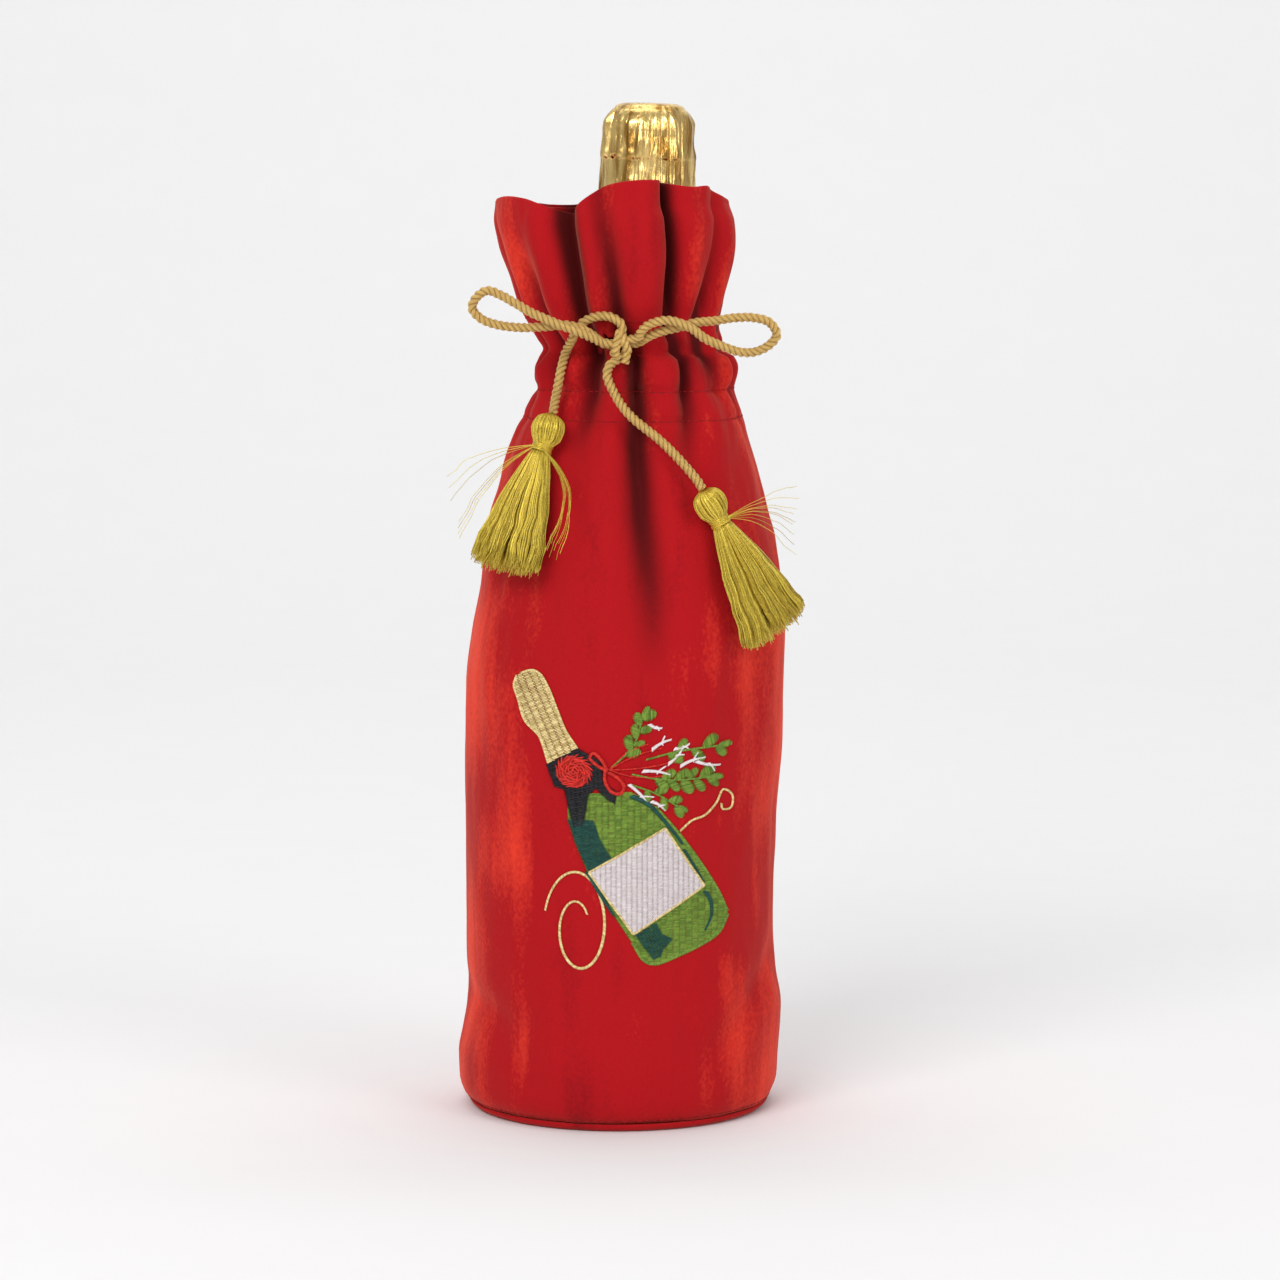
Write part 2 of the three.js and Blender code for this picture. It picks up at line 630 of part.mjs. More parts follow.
/** A pointed leaf from a stalk end, at an angle in degrees from +X. */
function leaf([x, z], angle, length, width) {
  const turn = THREE.MathUtils.degToRad(angle);
  const rows = [[0, 0.2], [0.3, 0.9], [0.6, 1], [1, 0.15]].map(([share, size]) => {
    return [share * length, -0.5 * width * size, 0.5 * width * size];
  });
  const place = ([aside, out]) => [
    x + out * Math.cos(turn) - aside * Math.sin(turn),
    z + out * Math.sin(turn) + aside * Math.cos(turn),
  ];
  return patch(rows, 0, place, 2);
}

/** Places along an oval scroll that winds outwards. */
function scroll([x, z], [wide, tall], turns, start, count) {
  return Array.from({ length: count + 1 }, (_, i) => {
    const share = i / count;
    const turn = THREE.MathUtils.degToRad(start) + share * turns * 2 * Math.PI;
    const size = 0.35 + 0.65 * share;
    return [x + wide * size * Math.cos(turn), z + tall * size * Math.sin(turn)];
  });
}

function makeEmbroidery() {
  const body = [
    [0, -12, 12],
    [3, -15.5, 15.6],
    [12, -16, 16.2],
    [22, -15.6, 15.6],
    [34, -15, 14.2],
    [41, -13.6, 12.8],
    [47, -12.4, 11.4],
    [52, -11.2, 7.6],
    [55, -10.4, 4.4],
  ];
  const shading = [[36, -14, -8], [41, -13, -8.4], [47, -12, -8.6], [53.5, -10.4, -8]];
  piece("embroidery_backing", wall(
    (u, v) => clothPoint(-38 + 84 * u, 44 + 106 * v, PANEL + 2 * GAP),
    (u, v) => clothPoint(-38 + 84 * u, 44 + 106 * v, PANEL + 2 * GAP + 0.4),
    12, 5, false,
  ), "backing");
  piece("motif_bottle", patch(body, 0), "greenThread");
  piece("motif_shade_shoulder", patch(shading, 1), "darkThread");
  piece("motif_shade_foot", patch([[1.5, -10, -4], [5, -13, -4], [8.6, -13.4, -5]], 1), "darkThread");
  const shadeSide = [[3, 10.8, 11.8], [9, 13, 14], [22, 13.8, 14.8]];
  piece("motif_shade_side", patch(shadeSide, 1, motif, 1), "darkThread");
  const collarBand = [[55.6, -10.6, 3.6], [61, -10, 2.8], [66.5, -9.8, 1.6]];
  piece("motif_collar_band", patch(collarBand, 0), "blackThread");
  piece("motif_neck_foil", patch([
    [67.2, -9.4, 1.2],
    [74, -8.2, 1.4],
    [84, -6.8, 2.6],
    [90, -7.2, 4.2],
    [95, -6.6, 4.3],
    [97.6, -4, 2.4],
  ], 0), "goldThread");
  const [low, high, left, right] = [10, 33, -15.2, 12.6];
  piece("motif_label", patch([[low, left, right], [20, left, right], [high, left, right]], 1), "whiteThread");
  const edge = 0.9;
  const rim = (rows) => patch(rows, 2);
  piece("motif_label_border", fused([
    rim([[low, left, right], [low + edge, left, right]]),
    rim([[high - edge, left, right], [high, left, right]]),
    rim([[low, left, left + edge], [20, left, left + edge], [high, left, left + edge]]),
    rim([[low, right - edge, right], [20, right - edge, right], [high, right - edge, right]]),
  ]), "goldThread");
  const rosette = [-5.2, -3.8, -1.4, 1.4, 3.8, 5.2].map((up) => {
    const half = Math.sqrt(Math.max(0.8, 5.4 ** 2 - up ** 2));
    return [62.6 + up, -3.8 - half, -3.8 + half];
  });
  piece("motif_rosette", patch(rosette, 1), "scarletThread");
  piece("motif_ribbon", fused([
    line([[-5.2, 118.6], [-1, 117.6], [-1.6, 114.4], [-3.4, 113]], 1.1, 6, 1),
    line([[-3.6, 113.4], [1.2, 113.6], [4.4, 110.6], [3.2, 107.2]], 1.1, 6, 1),
  ]), "scarletThread");
  piece("motif_sprig_upper", fused([
    line([[1.6, 116], [4.6, 120.4], [6.6, 125], [7.6, 130]], 0.9, 6),
    leaf([4.4, 120], 125, 5, 3),
    leaf([5, 120.4], 40, 5.4, 3),
    leaf([6.2, 124.4], 130, 5, 3),
    leaf([6.4, 124.6], 35, 5, 3),
    leaf([7.4, 129], 75, 5, 2.4),
  ]), "greenThread");
  piece("motif_sprig_lower", fused([
    line([[5.6, 112.6], [12, 113], [18, 114], [24.4, 118]], 0.9, 8),
    leaf([11, 112.9], -50, 5.4, 2.8),
    leaf([12.4, 112.9], 45, 5, 3),
    leaf([16.8, 113.6], -40, 6, 3.6),
    leaf([18, 113.8], 55, 5.4, 3.2),
    leaf([20.4, 115], -15, 6, 3.6),
    leaf([23.6, 117.2], 25, 7, 3),
  ]), "greenThread");
  piece("motif_twigs", fused([
    line([[5.8, 115.6], [8.6, 118.6], [13.4, 121.6]], 0.8, 4, 1),
    line([[5.6, 115.8], [10.4, 115.6], [14.6, 117]], 0.8, 4, 1),
  ]), "whiteThread");
  piece("motif_flourish", line(scroll([-13.4, 65], [10.6, 19.4], 1.35, 40, 20), 1, 40), "goldThread");
  piece("motif_curl", line([
    [18.4, 95.4], [22, 98.4], [26, 99.8], [29.6, 103.4], [31.8, 107.4], [34.6, 105.4], [34.2, 101.4],
    [31.6, 101.2], [31.2, 103.2],
  ], 1, 20), "goldThread");
}

// ---- bottle -----------------------------------------------------------------------------------------

function makeBottle() {
  const bottle = new THREE.Group();
  bottle.position.copy(BOTTLE_BASE);
  bottle.rotation.y = BOTTLE_LEAN;
  bag.add(bottle);

  const punt = 22;
  const bore = 9.2;
  const outer = GLASS_ROWS.map(([height, radius]) => [radius, height]);
  const innerRows = GLASS_ROWS.filter(([height]) => height > 5 && height < BOTTLE_HEIGHT - 60);
  const inner = innerRows.map(([height, radius]) => [radius - GLASS, height + (height < 7 ? GLASS : 0)]);
  const glass = [[0, punt], [18, punt - 8], [BOTTLE_RADIUS - 10, 0], ...outer, [bore, BOTTLE_HEIGHT]];
  const hollow = [[bore, BOTTLE_HEIGHT - 50], ...[...inner].reverse(), [18, punt - 8 + GLASS], [0, punt + GLASS]];
  piece("glass_bottle", turned([...glass, ...hollow], BOTTLE_SEGMENTS), "glass", bottle);

  const liquid = inner.map(([radius, height], i) => [radius - GAP, height + (i === 0 ? GAP : 0)]);
  const fill = BOTTLE_HEIGHT - 70;
  const surface = glassRadius(fill) - GLASS - GAP;
  piece("wine", turned([
    [0, punt + GLASS + 2 * GAP],
    [18, punt - 8 + GLASS + 2 * GAP],
    ...liquid.filter(([, height]) => height < fill),
    [surface, fill],
    [0, fill],
  ], BOTTLE_SEGMENTS), "wine", bottle);

  const seat = BOTTLE_HEIGHT + GAP;
  const crown = seat + CORK_HEAD;
  piece("cork", turned([
    [0, BOTTLE_HEIGHT - 24],
    [bore - GAP, BOTTLE_HEIGHT - 24],
    [bore - GAP, seat],
    [CORK_RADIUS, seat],
    [CORK_RADIUS, crown - 2],
    [CORK_RADIUS - 2, crown],
    [0, crown],
  ], 24), "cork", bottle);
  const cap = crown + GAP;
  piece("cage_cap", turned([[0, cap], [9, cap], [9, cap + 0.5], [0, cap + 0.5]], 24), "foil", bottle);

  const wire = 0.9;
  const legs = CORK_RADIUS + GAP + wire / 2;
  const collar = NECK_RADIUS - 1.1;
  let cage = solidOf(turnedRing([
    [legs - wire / 2, crown - 4.4],
    [legs + wire / 2, crown - 4.4],
    [legs + wire / 2, crown - 3.5],
    [legs - wire / 2, crown - 3.5],
  ], 20));
  for (let i = 0; i < 4; i++) {
    const leg = new THREE.BoxGeometry(wire, wire, crown - 4 - (BOTTLE_HEIGHT + 0.6));
    leg.translate(legs, 0, (crown - 4 + BOTTLE_HEIGHT + 0.6) / 2);
    leg.rotateZ((i / 4) * 2 * Math.PI + 0.5);
    cage = cage.add(solidOf(leg));
  }
  const foot = turnedRing([
    [legs - wire / 2, BOTTLE_HEIGHT + 0.5],
    [collar + 0.2, BOTTLE_HEIGHT + 0.5],
    [collar + 0.2, BOTTLE_HEIGHT + 1.6],
    [legs - wire / 2, BOTTLE_HEIGHT + 1.6],
  ], 20);
  piece("wire_cage", geometryOf(cage.add(solidOf(foot))), "wire", bottle);

  const low = BOTTLE_HEIGHT - FOIL_LENGTH;
  const skin = GLASS_ROWS.filter(([height]) => height >= low).map(([height, radius]) => [radius + GAP, height]);
  skin.pop();
  const shoulder = collar + 0.2 + GAP;
  const under = [
    ...skin,
    [shoulder, BOTTLE_HEIGHT],
    [shoulder, crown - 3],
    [CORK_RADIUS + GAP, crown - 0.6],
    [9 + GAP, cap + 0.5 + GAP],
    [0, cap + 0.5 + GAP],
  ];
  const over = under.map(([radius, height], i) => {
    const top = i >= under.length - 2;
    return [radius + (radius > 0 ? FOIL : 0), height + (top ? FOIL : 0) + (i === under.length - 3 ? FOIL / 2 : 0)];
  });
  piece("foil_capsule", turned([...over.reverse(), ...under].reverse(), BOTTLE_SEGMENTS), "foil", bottle);
}

// ---- assembly -----------------------------------------------------------------------------------------

makeCloth();
makeSewing();
makeCord();
const LEFT_TOP = LEFT_TAIL.at(-1).clone().add(new THREE.Vector3(-0.1, -0.2, -0.4));
const LEFT_DOWN = new THREE.Vector3(-0.3, -0.17, -0.93).normalize();
makeTassel("left", LEFT_TOP, LEFT_DOWN, new THREE.Vector3(-0.55, -0.83, 0), 13);
const RIGHT_TOP = RIGHT_TAIL.at(-1).clone().add(new THREE.Vector3(0.3, -0.2, -0.4));
const RIGHT_DOWN = new THREE.Vector3(0.46, 0.1, -0.88).normalize();
makeTassel("right", RIGHT_TOP, RIGHT_DOWN, new THREE.Vector3(0.72, -0.69, 0), 14);
makeEmbroidery();
makeBottle();

export default bag;
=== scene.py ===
"""A crushed velvet wine bag with a gold tasselled cord and a sewn bottle on its front.

The cloth, sewing, cord, tassels, embroidery and the bottle inside are built here in
metres, +Z up, with the front of the bag facing -Y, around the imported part.
"""

from __future__ import annotations

import logging
import math
import random
from dataclasses import dataclass, field
from enum import Enum
from typing import Callable, Sequence

import bpy
import numpy as np
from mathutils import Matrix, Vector, noise
from mathutils.bvhtree import BVHTree


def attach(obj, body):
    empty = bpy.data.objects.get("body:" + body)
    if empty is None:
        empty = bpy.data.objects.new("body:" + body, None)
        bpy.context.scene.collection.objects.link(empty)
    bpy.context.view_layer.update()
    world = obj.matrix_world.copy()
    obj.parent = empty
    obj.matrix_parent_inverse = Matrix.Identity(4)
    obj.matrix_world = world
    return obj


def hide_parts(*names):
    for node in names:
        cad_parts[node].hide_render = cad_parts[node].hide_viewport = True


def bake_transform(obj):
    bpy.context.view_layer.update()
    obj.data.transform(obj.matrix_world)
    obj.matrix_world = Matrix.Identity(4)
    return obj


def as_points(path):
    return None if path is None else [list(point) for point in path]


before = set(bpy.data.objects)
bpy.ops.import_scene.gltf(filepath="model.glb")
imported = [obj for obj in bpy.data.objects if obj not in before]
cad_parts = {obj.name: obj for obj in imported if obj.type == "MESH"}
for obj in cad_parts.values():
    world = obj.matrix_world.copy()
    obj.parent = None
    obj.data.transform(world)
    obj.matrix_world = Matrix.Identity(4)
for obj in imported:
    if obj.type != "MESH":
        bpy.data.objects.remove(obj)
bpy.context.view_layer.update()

LOG = logging.getLogger("wine_bag")
MM = 0.001
Place = tuple[float, float]
Colour = tuple[float, float, float]
Row = tuple[float, float, float]
Number = np.ndarray | float
Socket = bpy.types.NodeSocket
Mesh = bpy.types.Mesh
Piece = bpy.types.Object


# ---- small helpers ---------------------------------------------------------------------------


def bell(x: Number, spread: float) -> Number:
    """A smooth bump of height 1 at x = 0."""
    return np.exp(-0.5 * (np.asarray(x) / spread) ** 2)


def wrapped(degrees: Number) -> Number:
    """The same angle between -180 and 180 degrees."""
    return (np.asarray(degrees) + 540.0) % 360.0 - 180.0


def smooth_line(rows: Sequence[Sequence[float]], column: int) -> Callable:
    """A smooth curve through rows that never overshoots them.

    Args:
        rows: Rows whose first value rises from row to row.
        column: Which value of each row the curve follows.

    Returns:
        A function of the first value, for numbers or arrays.
    """
    xs = np.array([row[0] for row in rows], float)
    ys = np.array([row[column] for row in rows], float)
    steps, rises = np.diff(xs), np.diff(ys)
    slopes = rises / steps
    tangents = np.zeros(len(xs))
    for k in range(1, len(xs) - 1):
        if slopes[k - 1] * slopes[k] > 0:
            tangents[k] = 2 * slopes[k - 1] * slopes[k] / (slopes[k - 1] + slopes[k])
    tangents[0], tangents[-1] = slopes[0], slopes[-1]

    def at(x: Number) -> Number:
        """The curve's value at x."""
        x = np.clip(x, xs[0], xs[-1])
        k = np.clip(np.searchsorted(xs, x, side="right") - 1, 0, len(xs) - 2)
        t = (x - xs[k]) / steps[k]
        low, high = (1 + 2 * t) * (1 - t) ** 2, t * t * (3 - 2 * t)
        lean_in, lean_out = t * (1 - t) ** 2, t * t * (t - 1)
        return (
            low * ys[k]
            + high * ys[k + 1]
            + steps[k] * (lean_in * tangents[k] + lean_out * tangents[k + 1])
        )

    return at


def route_through(points: Sequence[Vector], step: float) -> np.ndarray:
    """Evenly spaced places along a centripetal curve through points.

    Args:
        points: The curve's own points.
        step: Distance between the places.

    Returns:
        An array of places, first and last on the end points.
    """
    pts = np.array([tuple(p) for p in points], float)
    ends = [2 * pts[0] - pts[1], *pts, 2 * pts[-1] - pts[-2]]
    dense = []
    for p0, p1, p2, p3 in zip(ends, ends[1:], ends[2:], ends[3:]):
        t1 = np.linalg.norm(p1 - p0) ** 0.5
        t2 = t1 + np.linalg.norm(p2 - p1) ** 0.5
        t3 = t2 + np.linalg.norm(p3 - p2) ** 0.5
        for t in np.linspace(t1, t2, 24, endpoint=False):
            a1 = (t1 - t) / t1 * p0 + t / t1 * p1
            a2 = (t2 - t) / (t2 - t1) * p1 + (t - t1) / (t2 - t1) * p2
            a3 = (t3 - t) / (t3 - t2) * p2 + (t - t2) / (t3 - t2) * p3
            b1 = (t2 - t) / t2 * a1 + t / t2 * a2
            b2 = (t3 - t) / (t3 - t1) * a2 + (t - t1) / (t3 - t1) * a3
            dense.append((t2 - t) / (t2 - t1) * b1 + (t - t1) / (t2 - t1) * b2)
    dense = np.array([*dense, pts[-1]])
    run = np.concatenate([[0], np.cumsum(np.linalg.norm(np.diff(dense, axis=0), axis=1))])
    count = max(2, round(run[-1] / step) + 1)
    even = np.linspace(0, run[-1], count)
    return np.stack([np.interp(even, run, dense[:, k]) for k in range(3)], axis=1)


def length_of(path: np.ndarray) -> float:
    """The length of a line of places."""
    return float(np.linalg.norm(np.diff(path, axis=0), axis=1).sum())


def new_mesh(name: str, points: Sequence, faces: Sequence, smooth: bool = True) -> Mesh:
    """A mesh from points and faces, shaded smooth unless told otherwise."""
    mesh = bpy.data.meshes.new(name)
    mesh.from_pydata([tuple(p) for p in points], [], [tuple(f) for f in faces])
    mesh.polygons.foreach_set("use_smooth", [smooth] * len(mesh.polygons))
    mesh.update()
    return mesh


def new_object(name: str, mesh: Mesh) -> Piece:
    """An object at the origin that shows a mesh."""
    obj = bpy.data.objects.new(name, mesh)
    bpy.context.scene.collection.objects.link(obj)
    return obj


def joined(name: str, meshes: Sequence[Mesh]) -> Mesh:
    """One mesh from several, which keeps the attribute `tint` and the UV map `lay`.

    Args:
        name: The new mesh's name.
        meshes: The meshes, each with at most one material.

    Returns:
        The mesh that holds them all.
    """
    points, faces, tints, lays = [], [], [], []
    for mesh in meshes:
        start = len(points)
        points += [v.co[:] for v in mesh.vertices]
        faces += [[start + k for k in p.vertices] for p in mesh.polygons]
        if "lay" in mesh.uv_layers:
            lays += [d.uv[:] for d in mesh.uv_layers["lay"].data]
        tint = mesh.attributes.get("tint")
        tints += [d.value for d in tint.data] if tint else [0.5] * len(mesh.vertices)
    whole = new_mesh(name, points, faces)
    set_tint(whole, tints)
    if lays:
        whole.uv_layers.new(name="lay").data.foreach_set("uv", np.array(lays, np.float32).ravel())
    for mesh in meshes:
        bpy.data.meshes.remove(mesh)
    return whole


def set_tint(mesh: Mesh, values: Sequence[float]) -> None:
    """Stores how light each vertex's thread is, from 0 to 1."""
    layer = mesh.attributes.new("tint", "FLOAT", "POINT")
    layer.data.foreach_set("value", np.array(values, np.float32))


# ---- finishes ----------------------------------------------------------------------------------


class NodeTree:
    """A node tree that nodes are added to, whatever it makes."""

    tree: bpy.types.NodeTree

    def add(self, kind: str, inputs: dict | None = None, **settings: object) -> bpy.types.Node:
        """Adds a node.

        Args:
            kind: The node's type name.
            inputs: Numbers or output sockets for its inputs, by name or number.
            **settings: Properties of the node itself.

        Returns:
            The node.
        """
        node = self.tree.nodes.new(kind)
        for key, value in settings.items():
            setattr(node, key, value)
        for key, value in (inputs or {}).items():
            if isinstance(value, Socket):
                self.tree.links.new(value, node.inputs[key])
            else:
                node.inputs[key].default_value = value
        return node


class Nodes(NodeTree):
    """Builds one material's node tree."""

    def __init__(self, name: str) -> None:
        """Starts a material with only a Principled shader and its output."""
        self.material = bpy.data.materials.new(name)
        self.material.use_nodes = True
        self.tree = self.material.node_tree
        self.shader = self.tree.nodes["Principled BSDF"]

    def shade(self, **values: object) -> None:
        """Sets or links the shader's inputs, named with underscores for spaces."""
        for key, value in values.items():
            socket = self.shader.inputs[key.replace("_", " ")]
            if isinstance(value, Socket):
                self.tree.links.new(value, socket)
            else:
                socket.default_value = value

    def place(self, scale: tuple[float, float, float]) -> Socket:
        """The piece's own coordinates in metres, stretched by a scale."""
        coordinates = self.add("ShaderNodeTexCoord")
        mapping = self.add("ShaderNodeMapping", {"Vector": coordinates.outputs["Object"], "Scale": scale})
        return mapping.outputs[0]

    def speckle(self, scale: tuple[float, float, float], detail: float = 2.0) -> Socket:
        """Noise from 0 to 1 with lumps of about 1/scale metres along each axis."""
        texture = self.add(
            "ShaderNodeTexNoise", {"Vector": self.place(scale), "Scale": 1.0, "Detail": detail}
        )
        return texture.outputs["Fac"]

    def ramp(self, value: Socket, stops: Sequence[tuple[float, Colour]]) -> Socket:
        """A colour for each value, blended between stops of (value, colour)."""
        node = self.add("ShaderNodeValToRGB", {"Fac": value})
        elements = node.color_ramp.elements
        while len(elements) < len(stops):
            elements.new(0.5)
        for element, (at, colour) in zip(elements, stops):
            element.position = at
            element.color = (*colour, 1.0)
        return node.outputs["Color"]

    def sum(self, kind: str, a: object, b: object) -> Socket:
        """A sum on two numbers, such as MULTIPLY or ADD."""
        return self.add("ShaderNodeMath", {0: a, 1: b}, operation=kind).outputs[0]

    def mix(self, share: Socket, low: object, high: object) -> Socket:
        """A colour between two, by a share from 0 to 1."""
        node = self.add("ShaderNodeMix", data_type="RGBA")
        for index, value in ((0, share), (6, low), (7, high)):
            if isinstance(value, Socket):
                self.tree.links.new(value, node.inputs[index])
            else:
                node.inputs[index].default_value = (*value, 1.0)
        return node.outputs[2]

    def bump(self, height: Socket, depth: float, strength: float = 1.0) -> None:
        """Gives the shader a bump of the given depth in metres."""
        node = self.add("ShaderNodeBump", {"Height": height, "Distance": depth, "Strength": strength})
        self.tree.links.new(node.outputs[0], self.shader.inputs["Normal"])

    def tint(self) -> Socket:
        """The number that each thread carries to set how light it is."""
        return self.add("ShaderNodeAttribute", attribute_name="tint").outputs["Fac"]


@dataclass(frozen=True)
class Velvet:
    """Crushed pile cloth: deep where the pile stands and bright where it lies down in random patches, with
    painted sheen lighter towards its sides and painted shade dark down in its folds.
    """

    name: str = "crushed velvet"
    deep: Colour = (0.27, 0.003, 0.007)
    middle: Colour = (0.42, 0.005, 0.009)
    # Also the colour that the painted sheen reaches towards the sides.
    bright: Colour = (0.8, 0.045, 0.022)
    # Colour of the painted shade that darkens the cloth down in its folds.
    hollow: Colour = (0.055, 0.001, 0.002)
    sheen: float = 0.32
    pile: float = 0.12 * MM
    # Whether painted sheen lightens the cloth towards its left and right sides.
    painted_side_sheen: bool = True

    def build(self) -> bpy.types.Material:
        """Makes the material."""
        book = Nodes(self.name)
        soft = book.speckle((90.0, 90.0, 15.0), 2.5)
        cloud = book.speckle((24.0, 24.0, 22.0), 1.5)
        fine = book.speckle((900.0, 900.0, 700.0), 2.0)
        lay = book.sum("ADD", book.sum("MULTIPLY", soft, 0.55), book.sum("MULTIPLY", cloud, 0.45))
        # Painted sheen: the further the cloth is to the side, the closer its colour is to bright.
        if self.painted_side_sheen:
            apart = book.add("ShaderNodeSeparateXYZ", {0: book.place((1.0, 1.0, 1.0))})
            side = book.sum("ABSOLUTE", apart.outputs[0], 0.0)
            reach = book.add(
                "ShaderNodeMapRange",
                {"Value": side, "From Min": 0.022, "From Max": 0.05, "To Min": 0.0, "To Max": 0.21},
            )
            lay = book.sum("ADD", lay, reach.outputs[0])
        grain = book.sum("MULTIPLY", book.sum("SUBTRACT", fine, 0.5), 0.22)
        lay = book.sum("ADD", lay, grain)
        colour = book.ramp(
            lay, ((0.28, self.deep), (0.47, self.middle), (0.6, self.middle), (0.82, self.bright))
        )
        # Painted shade: the deeper a fold, the closer the colour is to hollow.
        fold = book.add("ShaderNodeAttribute", attribute_name="fold").outputs["Fac"]
        painted_fold_shade = book.add(
            "ShaderNodeMapRange",
            {"Value": fold, "From Min": 0.24, "From Max": 0.86, "To Min": 0.0, "To Max": 0.92},
            interpolation_type="SMOOTHSTEP",
        )
        colour = book.mix(painted_fold_shade.outputs[0], colour, self.hollow)
        book.shade(
            Base_Color=colour,
            Roughness=0.82,
            Specular_IOR_Level=0.12,
            Sheen_Weight=self.sheen,
            Sheen_Roughness=0.42,
            Sheen_Tint=(1.0, 0.32, 0.22, 1.0),
        )
        weave = book.speckle((2600.0, 2600.0, 1500.0), 3.0)
        height = book.sum("ADD", weave, book.sum("MULTIPLY", soft, 1.5))
        book.bump(height, self.pile)
        return book.material


@dataclass(frozen=True)
class Thread:
    """Shiny embroidery or sewing thread, whose strands differ a little in shade."""

    name: str
    dark: Colour
    light: Colour
    roughness: float = 0.38
    metal: float = 0.0

    def build(self) -> bpy.types.Material:
        """Makes the material."""
        book = Nodes(self.name)
        fine = book.speckle((2400.0, 2400.0, 2400.0), 2.0)
        share = book.sum(
            "ADD", book.sum("MULTIPLY", book.tint(), 0.7), book.sum("MULTIPLY", fine, 1.1)
        )
        share = book.sum("SUBTRACT", share, 0.38)
        rough = book.add(
            "ShaderNodeMapRange",
            {"Value": fine, "To Min": self.roughness - 0.1, "To Max": self.roughness + 0.14},
        )
        book.shade(
            Base_Color=book.mix(share, self.dark, self.light),
            Roughness=rough.outputs[0],
            Metallic=self.metal,
            Specular_IOR_Level=0.3,
        )
        book.bump(fine, 0.05 * MM)
        return book.material


@dataclass(frozen=True)
class Braid:
    """Twisted metallic cord, with the fine yarn of each strand running along it, painted highlight on each
    strand's crest, painted shade in the grooves between strands, and painted glints.
    """

    name: str = "gold cord"
    dark: Colour = (0.4, 0.165, 0.02)
    light: Colour = (1.0, 0.67, 0.19)

    def build(self) -> bpy.types.Material:
        """Makes the material."""
        book = Nodes(self.name)
        uv = book.add("ShaderNodeUVMap", uv_map="lay")
        turned = book.add("ShaderNodeMapping", {"Vector": uv.outputs[0], "Rotation": (0.0, 0.0, 0.5)})
        yarn = book.add(
            "ShaderNodeTexWave",
            {"Vector": turned.outputs[0], "Scale": 3.4, "Distortion": 1.2, "Detail": 2.0},
        )
        # Painted glints: fine light and dark specks in the cord's colour.
        painted_glint_fleck = book.speckle((1800.0, 1800.0, 1800.0), 2.0)
        # Painted highlight and shade: lighter on the crest of each strand, darker in the grooves between
        # strands.
        apart = book.add("ShaderNodeSeparateXYZ", {0: uv.outputs[0]})
        across = book.sum(
            "ABSOLUTE", book.sum("SUBTRACT", book.sum("FRACT", apart.outputs[0], 0.0), 0.5), 0.0
        )
        painted_crest_highlight = book.add(
            "ShaderNodeMapRange",
            {"Value": across, "From Min": 0.5, "From Max": 0.2, "To Min": 0.0, "To Max": 0.78},
        )
        share = book.sum(
            "ADD",
            painted_crest_highlight.outputs[0],
            book.sum(
                "ADD", book.sum("MULTIPLY", yarn.outputs["Fac"], 0.3), book.sum("MULTIPLY", painted_glint_fleck, 0.3)
            ),
        )
        share = book.sum("SUBTRACT", share, 0.05)
        book.shade(
            Base_Color=book.mix(share, self.dark, self.light),
            Roughness=0.36,
            Metallic=0.3,
            Specular_IOR_Level=0.6,
            Sheen_Weight=0.12,
        )
        book.bump(yarn.outputs["Fac"], 0.12 * MM)
        return book.material


@dataclass(frozen=True)
class CrumpledFoil:
    """Thin gold foil pressed over wire and glass, with darker patches painted in as reflections."""

    name: str = "gold foil"
    base: Colour = (0.97, 0.7, 0.26)
    # Colour of the painted dark reflections.
    painted_dark_reflection: Colour = (0.46, 0.24, 0.05)

    def build(self) -> bpy.types.Material:
        """Makes the material."""
        book = Nodes(self.name)
        # Patches that set the painted dark reflections in the colour and also vary the roughness.
        painted_reflection_and_roughness = book.speckle((300.0, 300.0, 70.0), 3.0)
        crease = book.speckle((620.0, 620.0, 150.0), 3.0)
        rough = book.add(
            "ShaderNodeMapRange", {"Value": painted_reflection_and_roughness, "To Min": 0.17, "To Max": 0.36}
        )
        book.shade(
            Base_Color=book.ramp(painted_reflection_and_roughness, ((0.34, self.painted_dark_reflection), (0.58, self.base))),
            Metallic=1.0,
            Roughness=rough.outputs[0],
        )
        book.bump(crease, 0.4 * MM)
        return book.material


@dataclass(frozen=True)
class Plain:
    """A finish of two near colours with a fine bump: card, cork, wire, wine or glass."""

    name: str
    dark: Colour
    light: Colour
    grain: tuple[float, float, float]
    roughness: float
    depth: float
    metal: float = 0.0
    clear: float = 0.0

    def build(self) -> bpy.types.Material:
        """Makes the material."""
        book = Nodes(self.name)
        spots = book.speckle(self.grain, 4.0)
        book.shade(
            Base_Color=book.mix(spots, self.dark, self.light),
            Roughness=self.roughness,
            Metallic=self.metal,
            Transmission_Weight=self.clear,
        )
        book.bump(spots, self.depth)
        return book.material


